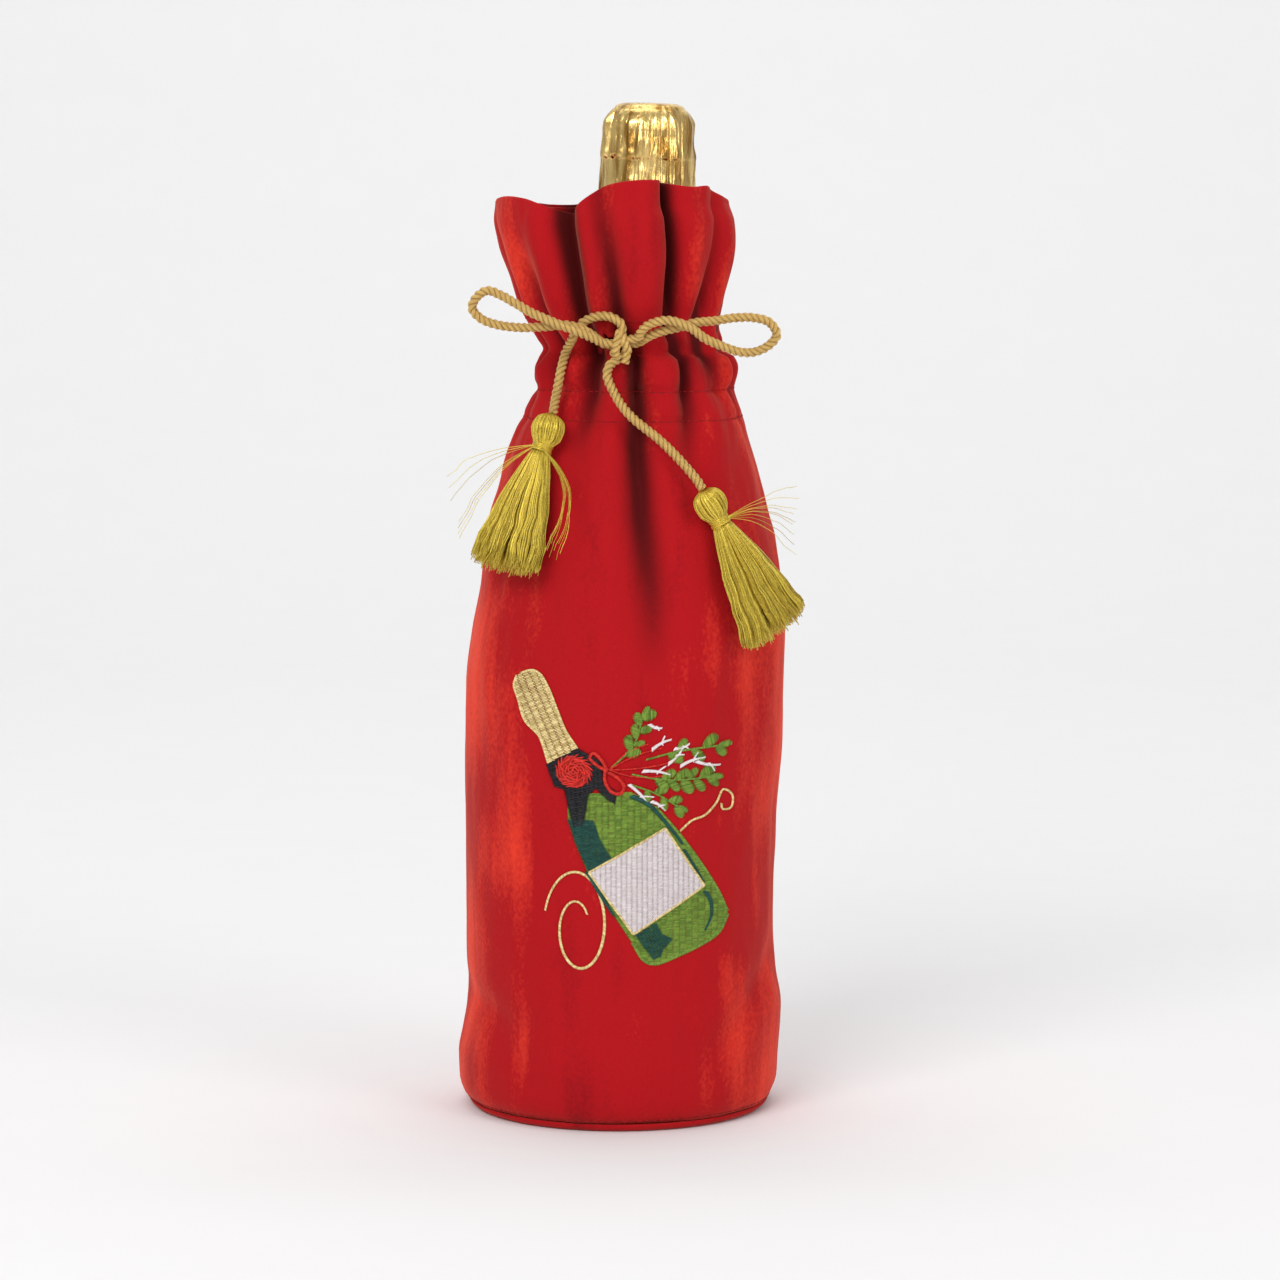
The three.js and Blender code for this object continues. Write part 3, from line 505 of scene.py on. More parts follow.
FINISHES = {
    "velvet": Velvet(),
    "lining": Velvet("velvet turned in", sheen=0.35, painted_side_sheen=False),
    "seam": Velvet("velvet at the seams", sheen=0.3, pile=0.06 * MM, painted_side_sheen=False),
    # Darker than the velvet: painted shade, so the stitches read as sunk into their creases.
    "red_thread": Thread("red sewing thread", (0.2, 0.003, 0.004), (0.36, 0.005, 0.008), 0.75),
    "gold_cord": Braid(),
    "tassel_thread": Thread("tassel thread", (0.38, 0.215, 0.006), (1.0, 0.82, 0.13), 0.3, 0.4),
    "gold_thread": Thread("gold embroidery thread", (0.46, 0.31, 0.09), (1.0, 0.84, 0.42), 0.35, 0.1),
    "green_thread": Thread("green embroidery thread", (0.06, 0.13, 0.012), (0.25, 0.4, 0.05)),
    "dark_thread": Thread("dark green thread", (0.004, 0.035, 0.03), (0.012, 0.1, 0.075)),
    "black_thread": Thread("black thread", (0.004, 0.004, 0.006), (0.02, 0.02, 0.026)),
    "white_thread": Thread("white thread", (0.7, 0.6, 0.62), (0.9, 0.84, 0.85)),
    "scarlet_thread": Thread("scarlet thread", (0.34, 0.006, 0.006), (0.8, 0.035, 0.02)),
    "backing": Plain("bonded backing", (0.7, 0.69, 0.66), (0.82, 0.81, 0.78), (700.0,) * 3, 0.9, 0.1 * MM),
    "bottle_glass": Plain(
        "green glass", (0.012, 0.06, 0.02), (0.02, 0.09, 0.03), (30.0,) * 3, 0.06, 0.02 * MM, 0.0, 0.85
    ),
    "wine": Plain(
        "pale wine", (0.62, 0.46, 0.12), (0.7, 0.54, 0.18), (20.0,) * 3, 0.04, 0.01 * MM, 0.0, 0.9
    ),
    "cork": Plain("pressed cork", (0.32, 0.17, 0.07), (0.6, 0.38, 0.2), (620.0,) * 3, 0.85, 0.25 * MM),
    "cage_wire": Plain(
        "cage wire", (0.42, 0.42, 0.43), (0.58, 0.58, 0.6), (500.0,) * 3, 0.3, 0.03 * MM, 1.0
    ),
    "gold_foil": CrumpledFoil(),
}


class Wardrobe:
    """Builds each finish once and puts it on pieces."""

    def __init__(self) -> None:
        """Starts with nothing built."""
        self.made: dict[str, bpy.types.Material] = {}

    def get(self, finish: str) -> bpy.types.Material:
        """The material of a finish."""
        if finish not in self.made:
            self.made[finish] = FINISHES[finish].build()
        return self.made[finish]

    def dress(self, obj: Piece, finish: str) -> Piece:
        """Gives a piece its finish, as its one material.

        Args:
            obj: The piece.
            finish: A name in FINISHES.

        Returns:
            The piece.
        """
        obj.data.materials.clear()
        obj.data.materials.append(self.get(finish))
        return obj


WARDROBE = Wardrobe()


# ---- repeated pieces by geometry nodes -----------------------------------------------------------


class Growth(NodeTree):
    """A geometry-node tree with named number inputs, used once on each guide mesh."""

    def __init__(self, name: str, sizes: dict[str, float]) -> None:
        """Starts a tree.

        Args:
            name: The tree's name.
            sizes: Its number inputs and their usual values.
        """
        self.tree = bpy.data.node_groups.new(name, "GeometryNodeTree")
        face = self.tree.interface
        face.new_socket("Geometry", in_out="INPUT", socket_type="NodeSocketGeometry")
        face.new_socket("Geometry", in_out="OUTPUT", socket_type="NodeSocketGeometry")
        self.keys = {}
        for label, value in sizes.items():
            socket = face.new_socket(label, in_out="INPUT", socket_type="NodeSocketFloat")
            socket.default_value = value
            self.keys[label] = socket.identifier
        material = face.new_socket("Material", in_out="INPUT", socket_type="NodeSocketMaterial")
        self.keys["Material"] = material.identifier
        self.start = self.tree.nodes.new("NodeGroupInput")
        self.end = self.tree.nodes.new("NodeGroupOutput")

    def carried(self, name: str, kind: str) -> Socket:
        """An attribute that the guide mesh carries."""
        node = self.add("GeometryNodeInputNamedAttribute", {"Name": name}, data_type=kind)
        return node.outputs["Attribute"]

    def close(self, geometry: Socket) -> None:
        """Ends the tree with realised, smooth geometry in its material."""
        real = self.add("GeometryNodeRealizeInstances", {0: geometry})
        smooth = self.add("GeometryNodeSetShadeSmooth", {0: real.outputs[0]})
        done = self.add(
            "GeometryNodeSetMaterial",
            {"Geometry": smooth.outputs[0], "Material": self.start.outputs["Material"]},
        )
        self.tree.links.new(done.outputs[0], self.end.inputs[0])

    def grow(self, name: str, guide: Mesh, finish: str, **sizes: float) -> Mesh:
        """Runs the tree on a guide mesh.

        Args:
            name: The new mesh's name.
            guide: The mesh that carries the places; it is used up.
            finish: The finish of what grows.
            **sizes: Inputs that differ from the usual, with underscores for spaces.

        Returns:
            The plain mesh.
        """
        holder = new_object(name + "_guide", guide)
        modifier = holder.modifiers.new("growth", "NODES")
        modifier.node_group = self.tree
        modifier[self.keys["Material"]] = WARDROBE.get(finish)
        for label, value in sizes.items():
            modifier[self.keys[label.replace("_", " ")]] = float(value)
        graph = bpy.context.evaluated_depsgraph_get()
        mesh = bpy.data.meshes.new_from_object(holder.evaluated_get(graph))
        bpy.data.objects.remove(holder)
        bpy.data.meshes.remove(guide)
        mesh.name = name
        return mesh


def stitch_growth() -> Growth:
    """One stitch on each guide vertex, along `way` and standing on `out`."""
    growth = Growth("stitches", {"Width": 0.4 * MM, "Height": 0.3 * MM, "Spread": 0.15, "Seed": 3.0})
    given = growth.start.outputs
    way = growth.carried("way", "FLOAT_VECTOR")
    along = growth.add("FunctionNodeAlignRotationToVector", {"Vector": way}, axis="X")
    upright = growth.add(
        "FunctionNodeAlignRotationToVector",
        {"Rotation": along.outputs[0], "Vector": growth.carried("out", "FLOAT_VECTOR")},
        axis="Z",
        pivot_axis="X",
    )
    low = growth.add("ShaderNodeMath", {0: 1.0, 1: given["Spread"]}, operation="SUBTRACT")
    high = growth.add("ShaderNodeMath", {0: 1.0, 1: given["Spread"]}, operation="ADD")
    whole = growth.add("FunctionNodeFloatToInt", {0: given["Seed"]})
    vary = growth.add(
        "FunctionNodeRandomValue",
        {"Min": low.outputs[0], "Max": high.outputs[0], "Seed": whole.outputs[0]},
        data_type="FLOAT",
    )
    # The random node keeps one pair of limits for each kind of number.
    floats = [s for s in vary.inputs if s.name in ("Min", "Max") and s.type == "VALUE"]
    growth.tree.links.new(low.outputs[0], floats[0])
    growth.tree.links.new(high.outputs[0], floats[1])
    drawn = next(s for s in vary.outputs if s.type == "VALUE")
    half = growth.add("ShaderNodeVectorMath", {0: way}, operation="LENGTH")
    wide = growth.add("ShaderNodeMath", {0: given["Width"], 1: drawn}, operation="MULTIPLY")
    size = growth.add(
        "ShaderNodeCombineXYZ",
        {"X": half.outputs["Value"], "Y": wide.outputs[0], "Z": given["Height"]},
    )
    bead = growth.add("GeometryNodeMeshUVSphere", {"Segments": 6, "Rings": 4, "Radius": 1.0})
    placed = growth.add(
        "GeometryNodeInstanceOnPoints",
        {
            "Points": given["Geometry"],
            "Instance": bead.outputs["Mesh"],
            "Rotation": upright.outputs[0],
            "Scale": size.outputs[0],
        },
    )
    growth.close(placed.outputs[0])
    return growth


def strand_growth() -> Growth:
    """A thin thread along each line of a guide mesh, as thick as its `thick` says."""
    growth = Growth(
        "strands", {"Radius": 0.25 * MM, "Sides": 4.0, "Wave": 0.0, "Wave size": 8 * MM, "Seed": 5.0}
    )
    given = growth.start.outputs
    line = growth.add("GeometryNodeMeshToCurve", {0: given["Geometry"]})
    place = growth.add("GeometryNodeInputPosition")
    shrunk = growth.add("ShaderNodeMath", {0: 1.0, 1: given["Wave size"]}, operation="DIVIDE")
    texture = growth.add(
        "ShaderNodeTexNoise",
        {"Vector": place.outputs[0], "W": given["Seed"], "Scale": shrunk.outputs[0], "Detail": 1.0},
        noise_dimensions="4D",
    )
    centred = growth.add("ShaderNodeVectorMath", {0: texture.outputs["Color"]}, operation="SUBTRACT")
    centred.inputs[1].default_value = (0.5, 0.5, 0.5)
    loose = growth.add(
        "ShaderNodeMath", {0: growth.carried("loose", "FLOAT"), 1: given["Wave"]}, operation="MULTIPLY"
    )
    shift = growth.add(
        "ShaderNodeVectorMath", {0: centred.outputs[0], "Scale": loose.outputs[0]}, operation="SCALE"
    )
    moved = growth.add("GeometryNodeSetPosition", {"Geometry": line.outputs[0], "Offset": shift.outputs[0]})
    radius = growth.add(
        "ShaderNodeMath", {0: growth.carried("thick", "FLOAT"), 1: given["Radius"]}, operation="MULTIPLY"
    )
    thick = growth.add(
        "GeometryNodeSetCurveRadius", {"Curve": moved.outputs[0], "Radius": radius.outputs[0]}
    )
    sides = growth.add("FunctionNodeFloatToInt", {0: given["Sides"]})
    section = growth.add(
        "GeometryNodeCurvePrimitiveCircle", {"Resolution": sides.outputs[0], "Radius": 1.0}
    )
    swept = growth.add(
        "GeometryNodeCurveToMesh",
        {"Curve": thick.outputs[0], "Profile Curve": section.outputs["Curve"], "Fill Caps": True},
    )
    for socket in swept.inputs:
        if socket.name == "Scale":
            radii = growth.add("GeometryNodeInputRadius")
            growth.tree.links.new(radii.outputs[0], socket)
    growth.close(swept.outputs[0])
    return growth


STITCHES = stitch_growth()
STRANDS = strand_growth()


@dataclass
class StitchSet:
    """Stitches gathered for one piece: centres, half lengths and the way each faces."""

    centres: list = field(default_factory=list)
    ways: list = field(default_factory=list)
    outs: list = field(default_factory=list)

    def lay(self, start: Vector, end: Vector, out: Vector) -> None:
        """Adds one stitch from start to end that stands on the way out."""
        self.centres.append((start + end) / 2)
        self.ways.append((end - start) * 0.62)
        self.outs.append(out)

    def mesh(self, name: str, finish: str, width: float, height: float, seed: int = 3) -> Mesh:
        """Grows the stitches.

        Args:
            name: The mesh's name.
            finish: The thread.
            width: Half of a stitch's width.
            height: Half of its height.
            seed: Which random widths and shades it gets.

        Returns:
            The mesh, with a shade for each stitch.
        """
        guide = new_mesh(name + "_guide", self.centres, [])
        for label, values in (("way", self.ways), ("out", self.outs)):
            layer = guide.attributes.new(label, "FLOAT_VECTOR", "POINT")
            layer.data.foreach_set("vector", np.array([tuple(v) for v in values], np.float32).ravel())
        mesh = STITCHES.grow(name, guide, finish, Width=width, Height=height, Seed=seed)
        share = len(mesh.vertices) // max(1, len(self.centres))
        rng = np.random.default_rng(seed)
        set_tint(mesh, np.repeat(rng.random(len(self.centres)), share)[: len(mesh.vertices)])
        return mesh


@dataclass
class StrandSet:
    """Thread lines gathered for one piece."""

    lines: list = field(default_factory=list)
    tapers: list = field(default_factory=list)

    def lay(self, line: np.ndarray, taper: float = 1.0, thick: float = 1.0) -> None:
        """Adds one thread along a line of places.

        Args:
            line: The places.
            taper: How thick its end is against its start.
            thick: How thick its start is against the other threads.
        """
        self.lines.append(line)
        self.tapers.append((thick, thick * taper))

    def mesh(self, name: str, finish: str, radius: float, seed: int = 5, **sizes: float) -> Mesh:
        """Grows the threads.

        Args:
            name: The mesh's name.
            finish: The thread.
            radius: Its radius.
            seed: Which random shades and waves it gets.
            **sizes: Other inputs of the strand tree.

        Returns:
            The mesh, with a shade for each thread.
        """
        points, edges, thick, loose, tints = [], [], [], [], []
        rng = np.random.default_rng(seed)
        for line, taper in zip(self.lines, self.tapers):
            start, shade = len(points), rng.random()
            share = np.linspace(0, 1, len(line))
            points += [tuple(p) for p in line]
            edges += [(start + k, start + k + 1) for k in range(len(line) - 1)]
            thick += list(taper[0] + (taper[1] - taper[0]) * share)
            loose += list(share)
            tints += [shade] * len(line)
        guide = bpy.data.meshes.new(name + "_guide")
        guide.from_pydata(points, edges, [])
        for label, values in (("thick", thick), ("loose", loose), ("tint", tints)):
            layer = guide.attributes.new(label, "FLOAT", "POINT")
            layer.data.foreach_set("value", np.array(values, np.float32))
        return STRANDS.grow(name, guide, finish, Radius=radius, Seed=seed, **sizes)


# ---- bottle ------------------------------------------------------------------------------------------


@dataclass
class Bottle:
    """The wired-cork bottle that stands in the bag and gives it its shape."""

    radius: float = 43.5 * MM
    height: float = 299 * MM
    lean: float = math.radians(1.73)
    base: Vector = field(default_factory=lambda: Vector((-0.5 * MM, 0.0, 4.6 * MM)))
    lift: float = 10 * MM
    glass: float = 4.6 * MM
    bore: float = 9.2 * MM
    punt: float = 22 * MM
    neck: float = 13.7 * MM
    cork_radius: float = 11.4 * MM
    cork_head: float = 15.6 * MM
    foil: float = 0.4 * MM
    foil_length: float = 64 * MM
    gap: float = 0.3 * MM

    def __post_init__(self) -> None:
        """Works out the outline up the bottle's own axis."""
        r, h = self.radius, self.height
        self.rows = [
            (0.0, r - 5 * MM),
            (2.2 * MM, r - 1.6 * MM),
            (6 * MM, r),
            (0.42 * h, r),
            (0.5 * h, r - 1.7 * MM),
            (0.55 * h, r - 6.2 * MM),
            (0.6 * h, r - 11.5 * MM),
            (0.65 * h, r - 16.8 * MM),
            (0.7 * h, r - 21.4 * MM),
            (h - 77 * MM, self.neck + 4.8 * MM),
            (h - self.foil_length, self.neck + 2.9 * MM),
            (h - 44 * MM, self.neck + 1.6 * MM),
            (h - 24 * MM, self.neck + 0.5 * MM),
            (h - 6 * MM, self.neck),
            (h, self.neck - 1.1 * MM),
        ]
        self.outline = smooth_line(self.rows, 1)

    def axis_x(self, z: Number) -> Number:
        """Where the leaning axis is at a height."""
        return self.base.x + (z - self.base.z) * math.tan(self.lean)

    def swept_radius(self, z: Number) -> np.ndarray:
        """The widest the bottle gets at a height while it rises."""
        reach = []
        for share in (0.0, 0.5, 1.0):
            height = (z - self.base.z) / math.cos(self.lean) - share * self.lift
            wrap = np.where(height >= self.height - self.foil_length, self.gap + self.foil, 0.0)
            reach.append(self.outline(np.maximum(height, 0.0)) + wrap)
        return np.max(reach, axis=0)

    def placed(self, points: Sequence) -> list[Vector]:
        """Points given up the bottle's own axis, where they stand in the bag."""
        cos, sin = math.cos(self.lean), math.sin(self.lean)
        turned = []
        for x, y, z in points:
            turned.append(Vector((cos * x + sin * z, y, -sin * x + cos * z)) + self.base)
        return turned

    def turned(
        self, name: str, profile: Sequence[Place], segments: int = 96, shift: Callable | None = None
    ) -> Piece:
        """A body of revolution about the bottle's axis.

        Args:
            name: The piece's name.
            profile: (radius, height) rows, first and last on the axis.
            segments: Steps round it.
            shift: Extra radius as a function of (turn, height), if any.

        Returns:
            The piece.
        """
        points, faces, rings = [], [], []
        for r, h in profile:
            if r <= 0:
                rings.append([len(points)])
                points.append((0.0, 0.0, h))
                continue
            rings.append(list(range(len(points), len(points) + segments)))
            for k in range(segments):
                turn = k / segments * 2 * math.pi
                reach = r + (shift(turn, h) if shift else 0.0)
                points.append((reach * math.cos(turn), reach * math.sin(turn), h))
        for low, high in zip(rings, rings[1:]):
            for k in range(segments):
                n = (k + 1) % segments
                if len(low) == 1:
                    faces.append((low[0], high[n], high[k]))
                elif len(high) == 1:
                    faces.append((low[k], low[n], high[0]))
                else:
                    faces.append((low[k], low[n], high[n], high[k]))
        return new_object(name, new_mesh(name, self.placed(points), faces))

    def build(self) -> None:
        """Makes the glass, wine, cork, cage, cap and foil, and rides them on the bottle."""
        h, g = self.height, self.glass
        heights = np.concatenate([np.linspace(0, 8 * MM, 7), np.linspace(12 * MM, h, 70)])
        outer = [(float(self.outline(z)), float(z)) for z in heights]
        inside = [z for z in heights if 6 * MM <= z < h - 56 * MM]
        inner = [(float(self.outline(z)) - g, float(z)) for z in inside]
        inner[0] = (inner[0][0] - 2 * MM, inner[0][1] + g)
        kick = [(18 * MM, self.punt - 8 * MM), (self.radius - 10 * MM, 0.4 * MM)]
        lip = [(self.bore, h + 0.2 * MM), (self.bore, h - 48 * MM)]
        floor = [(18 * MM, self.punt - 8 * MM + g), (0.0, self.punt + g)]
        glass = [(0.0, self.punt), *kick, *outer, *lip, *reversed(inner), *floor]
        body = self.turned("bottle_glass", glass)
        self.ride(body, "bottle_glass", "glass_bottle")
        fill = h - 70 * MM
        liquid = [(r - self.gap, z + self.gap) for r, z in inner if z < fill]
        wine = [(0.0, self.punt + g + 2 * self.gap), (18 * MM, self.punt - 8 * MM + g + 2 * self.gap)]
        wine += [*liquid, (float(self.outline(fill)) - g - self.gap, fill), (0.0, fill)]
        self.ride(self.turned("wine_fill", wine, 72), "wine", "wine")
        self.build_stopper()
        self.build_foil()

    def build_stopper(self) -> None:
        """Makes the cork, its cap and the wire cage that holds them down."""
        seat = self.height + self.gap
        crown = seat + self.cork_head
        r, fit = self.cork_radius, self.bore - self.gap
        profile = [
            (0.0, self.height - 24 * MM), (fit - MM, self.height - 24 * MM), (fit, self.height - 23 * MM)
        ]
        profile += [(fit, seat - 0.1 * MM), (r - 0.6 * MM, seat), (r, seat + 0.8 * MM)]
        profile += [(r - 0.3 * MM, seat + 5 * MM), (r, crown - 3 * MM), (r - MM, crown - MM)]
        profile += [(r - 3 * MM, crown), (0.0, crown)]
        self.ride(self.turned("stopper_cork", profile, 64), "cork", "cork")
        cap, rim = crown + self.gap, 9 * MM
        plate = [(0.0, cap), (rim - MM, cap), (rim, cap - 0.2 * MM), (rim + 0.1 * MM, cap + 0.2 * MM)]
        plate += [(rim - 0.8 * MM, cap + 0.5 * MM), (3 * MM, cap + 0.4 * MM), (0.0, cap + 0.5 * MM)]
        self.ride(self.turned("cork_cap", plate, 48), "gold_foil", "cage_cap")
        strands, legs = StrandSet(), r + self.gap + 0.45 * MM
        turns = np.linspace(0, 2 * math.pi, 49)
        for height, reach in ((crown - 4 * MM, legs), (self.height + MM, legs + 0.9 * MM)):
            for twist in (0.0, math.pi):
                spin = 14 * turns + twist
                ring = [
                    ((reach + 0.3 * MM * math.cos(s)) * math.cos(t),
                    (reach + 0.3 * MM * math.cos(s)) * math.sin(t),
                     height + 0.3 * MM * math.sin(s))
                    for t, s in zip(turns, spin)
                ]
                strands.lay(np.array([tuple(p) for p in self.placed(ring)]))
        for leg in range(4):
            turn = leg * math.pi / 2 + 0.5
            for twist in (0.0, math.pi):
                line = []
                for share in np.linspace(0, 1, 30):
                    spin = 12 * share * math.pi + twist
                    here = turn + 0.03 * math.sin(spin)
                    reach = legs + 0.9 * MM * (1 - share) + 0.3 * MM * math.cos(spin)
                    height = self.height + MM + share * (self.cork_head - 4.7 * MM)
                    line.append((reach * math.cos(here), reach * math.sin(here), height))
                strands.lay(np.array([tuple(p) for p in self.placed(line)]))
        mesh = strands.mesh("cage_of_wire", "cage_wire", 0.34 * MM, Sides=6)
        self.ride(new_object("cage_of_wire", mesh), "cage_wire", "wire_cage")

    def build_foil(self) -> None:
        """Makes the foil, pressed over the cage and gathered in pleats down the neck."""
        low, shoulder = self.height - self.foil_length, self.height
        crown = self.height + self.gap + self.cork_head
        collar = self.neck + 0.2 * MM
        under = [
            (float(self.outline(z)) + self.gap, float(z)) for z in np.linspace(low, shoulder - 6 * MM, 54)
        ]
        top = crown + 0.8 * MM + self.gap
        sides = np.linspace(shoulder - 5 * MM, crown - 6.6 * MM, 40)
        under += [(collar + 0.1 * MM * (z > shoulder), float(z)) for z in sides]
        for t in np.linspace(0.08, 1, 20):
            bend = t * math.pi / 2
            rise = top - crown + 6.6 * MM
            under.append((collar - 7 * MM * (1 - math.cos(bend)), top - rise * (1 - math.sin(bend))))
        flat = under[-1][0]
        under += [(flat * (1 - t), top + 0.15 * MM * t) for t in (0.25, 0.5, 0.75)]
        over = [(r + self.foil, z + (self.foil if z > crown else 0.0)) for r, z in under]
        peak = top + 0.2 * MM
        profile = [(0.0, peak), *reversed(under), *over, (0.0, peak + self.foil)]
        ridges = [leg * math.pi / 2 + 0.5 for leg in range(4)]

        def crumple(turn: float, height: float) -> float:
            """How far the foil stands in or out at a turn and a height."""
            here = Vector((math.cos(turn), math.sin(turn), 0.0))
            down = min(1.0, max(0.0, (crown - height) / (26 * MM)))
            near_top = min(1.0, max(0.0, (top - height) / (5 * MM)))
            folds = noise.noise(Vector((here.x * 4.4, here.y * 4.4, height / (22 * MM))))
            pleats = noise.noise(Vector((here.x * 9, here.y * 9, height / (30 * MM) + 7)))
            dents = noise.noise(Vector((here.x * 4, here.y * 4, height / (7 * MM) + 3)))
            sharp = 0.55 - abs(pleats) * 1.7
            wires = sum(
                float(bell(math.remainder(turn - ridge + lean, 2 * math.pi), 0.045))
                for ridge in ridges for lean in (-0.09, 0.09)
            )
            hollow = sum(float(bell(math.remainder(turn - ridge, 2 * math.pi), 0.05)) for ridge in ridges)
            cage = (
                float(bell(height - self.height - 1.5 * MM, 1.1 * MM))
                + float(bell(height - crown + 4.5 * MM, 0.9 * MM))
            )
            patch = max(0.0, math.sin(1.4 * turn + 2.4)) ** 2
            bulge = 0.34 * patch * MM * cage * (1 if height < crown - 2 * MM else 0.4)
            press = (0.7 * wires - 0.8 * hollow) * MM * (1 if height > self.height else 0.25)
            shift = (
                1.0 * MM * folds + 0.8 * MM * sharp * (0.35 + 0.65 * down) + 0.5 * MM * dents + bulge
                + press
            )
            free = min(1.0, max(0.0, (height - self.height - MM) / (6 * MM)))
            return max(-(0.15 + 0.75 * free) * MM, near_top * (shift - 0.35 * MM * free))

        foil = self.turned("neck_foil", profile, 260, crumple)
        self.ride(foil, "gold_foil", "foil_capsule")

    def ride(self, obj: Piece, finish: str, node: str) -> None:
        """Dresses a piece of the bottle and ties it to the bottle's body."""
        WARDROBE.dress(obj, finish)
        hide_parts(node)
        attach(obj, "bottle")
        LOG.info("%s rides on bottle", obj.name)


# ---- the cloth's shape -------------------------------------------------------------------------------


@dataclass(frozen=True)
class Pleat:
    """One fold that runs up and down: degrees from the front, and how it fades."""

    tie: float
    rim: float
    foot: float
    width: float
    at_rim: float
    reach: float
    pinch: float = 0.45
    fade: float = 1.0


@dataclass(frozen=True)
class Crease:
    """A soft line pressed into the cloth between two (degrees, height) places."""

    start: Place
    end: Place
    depth: float
    width: float


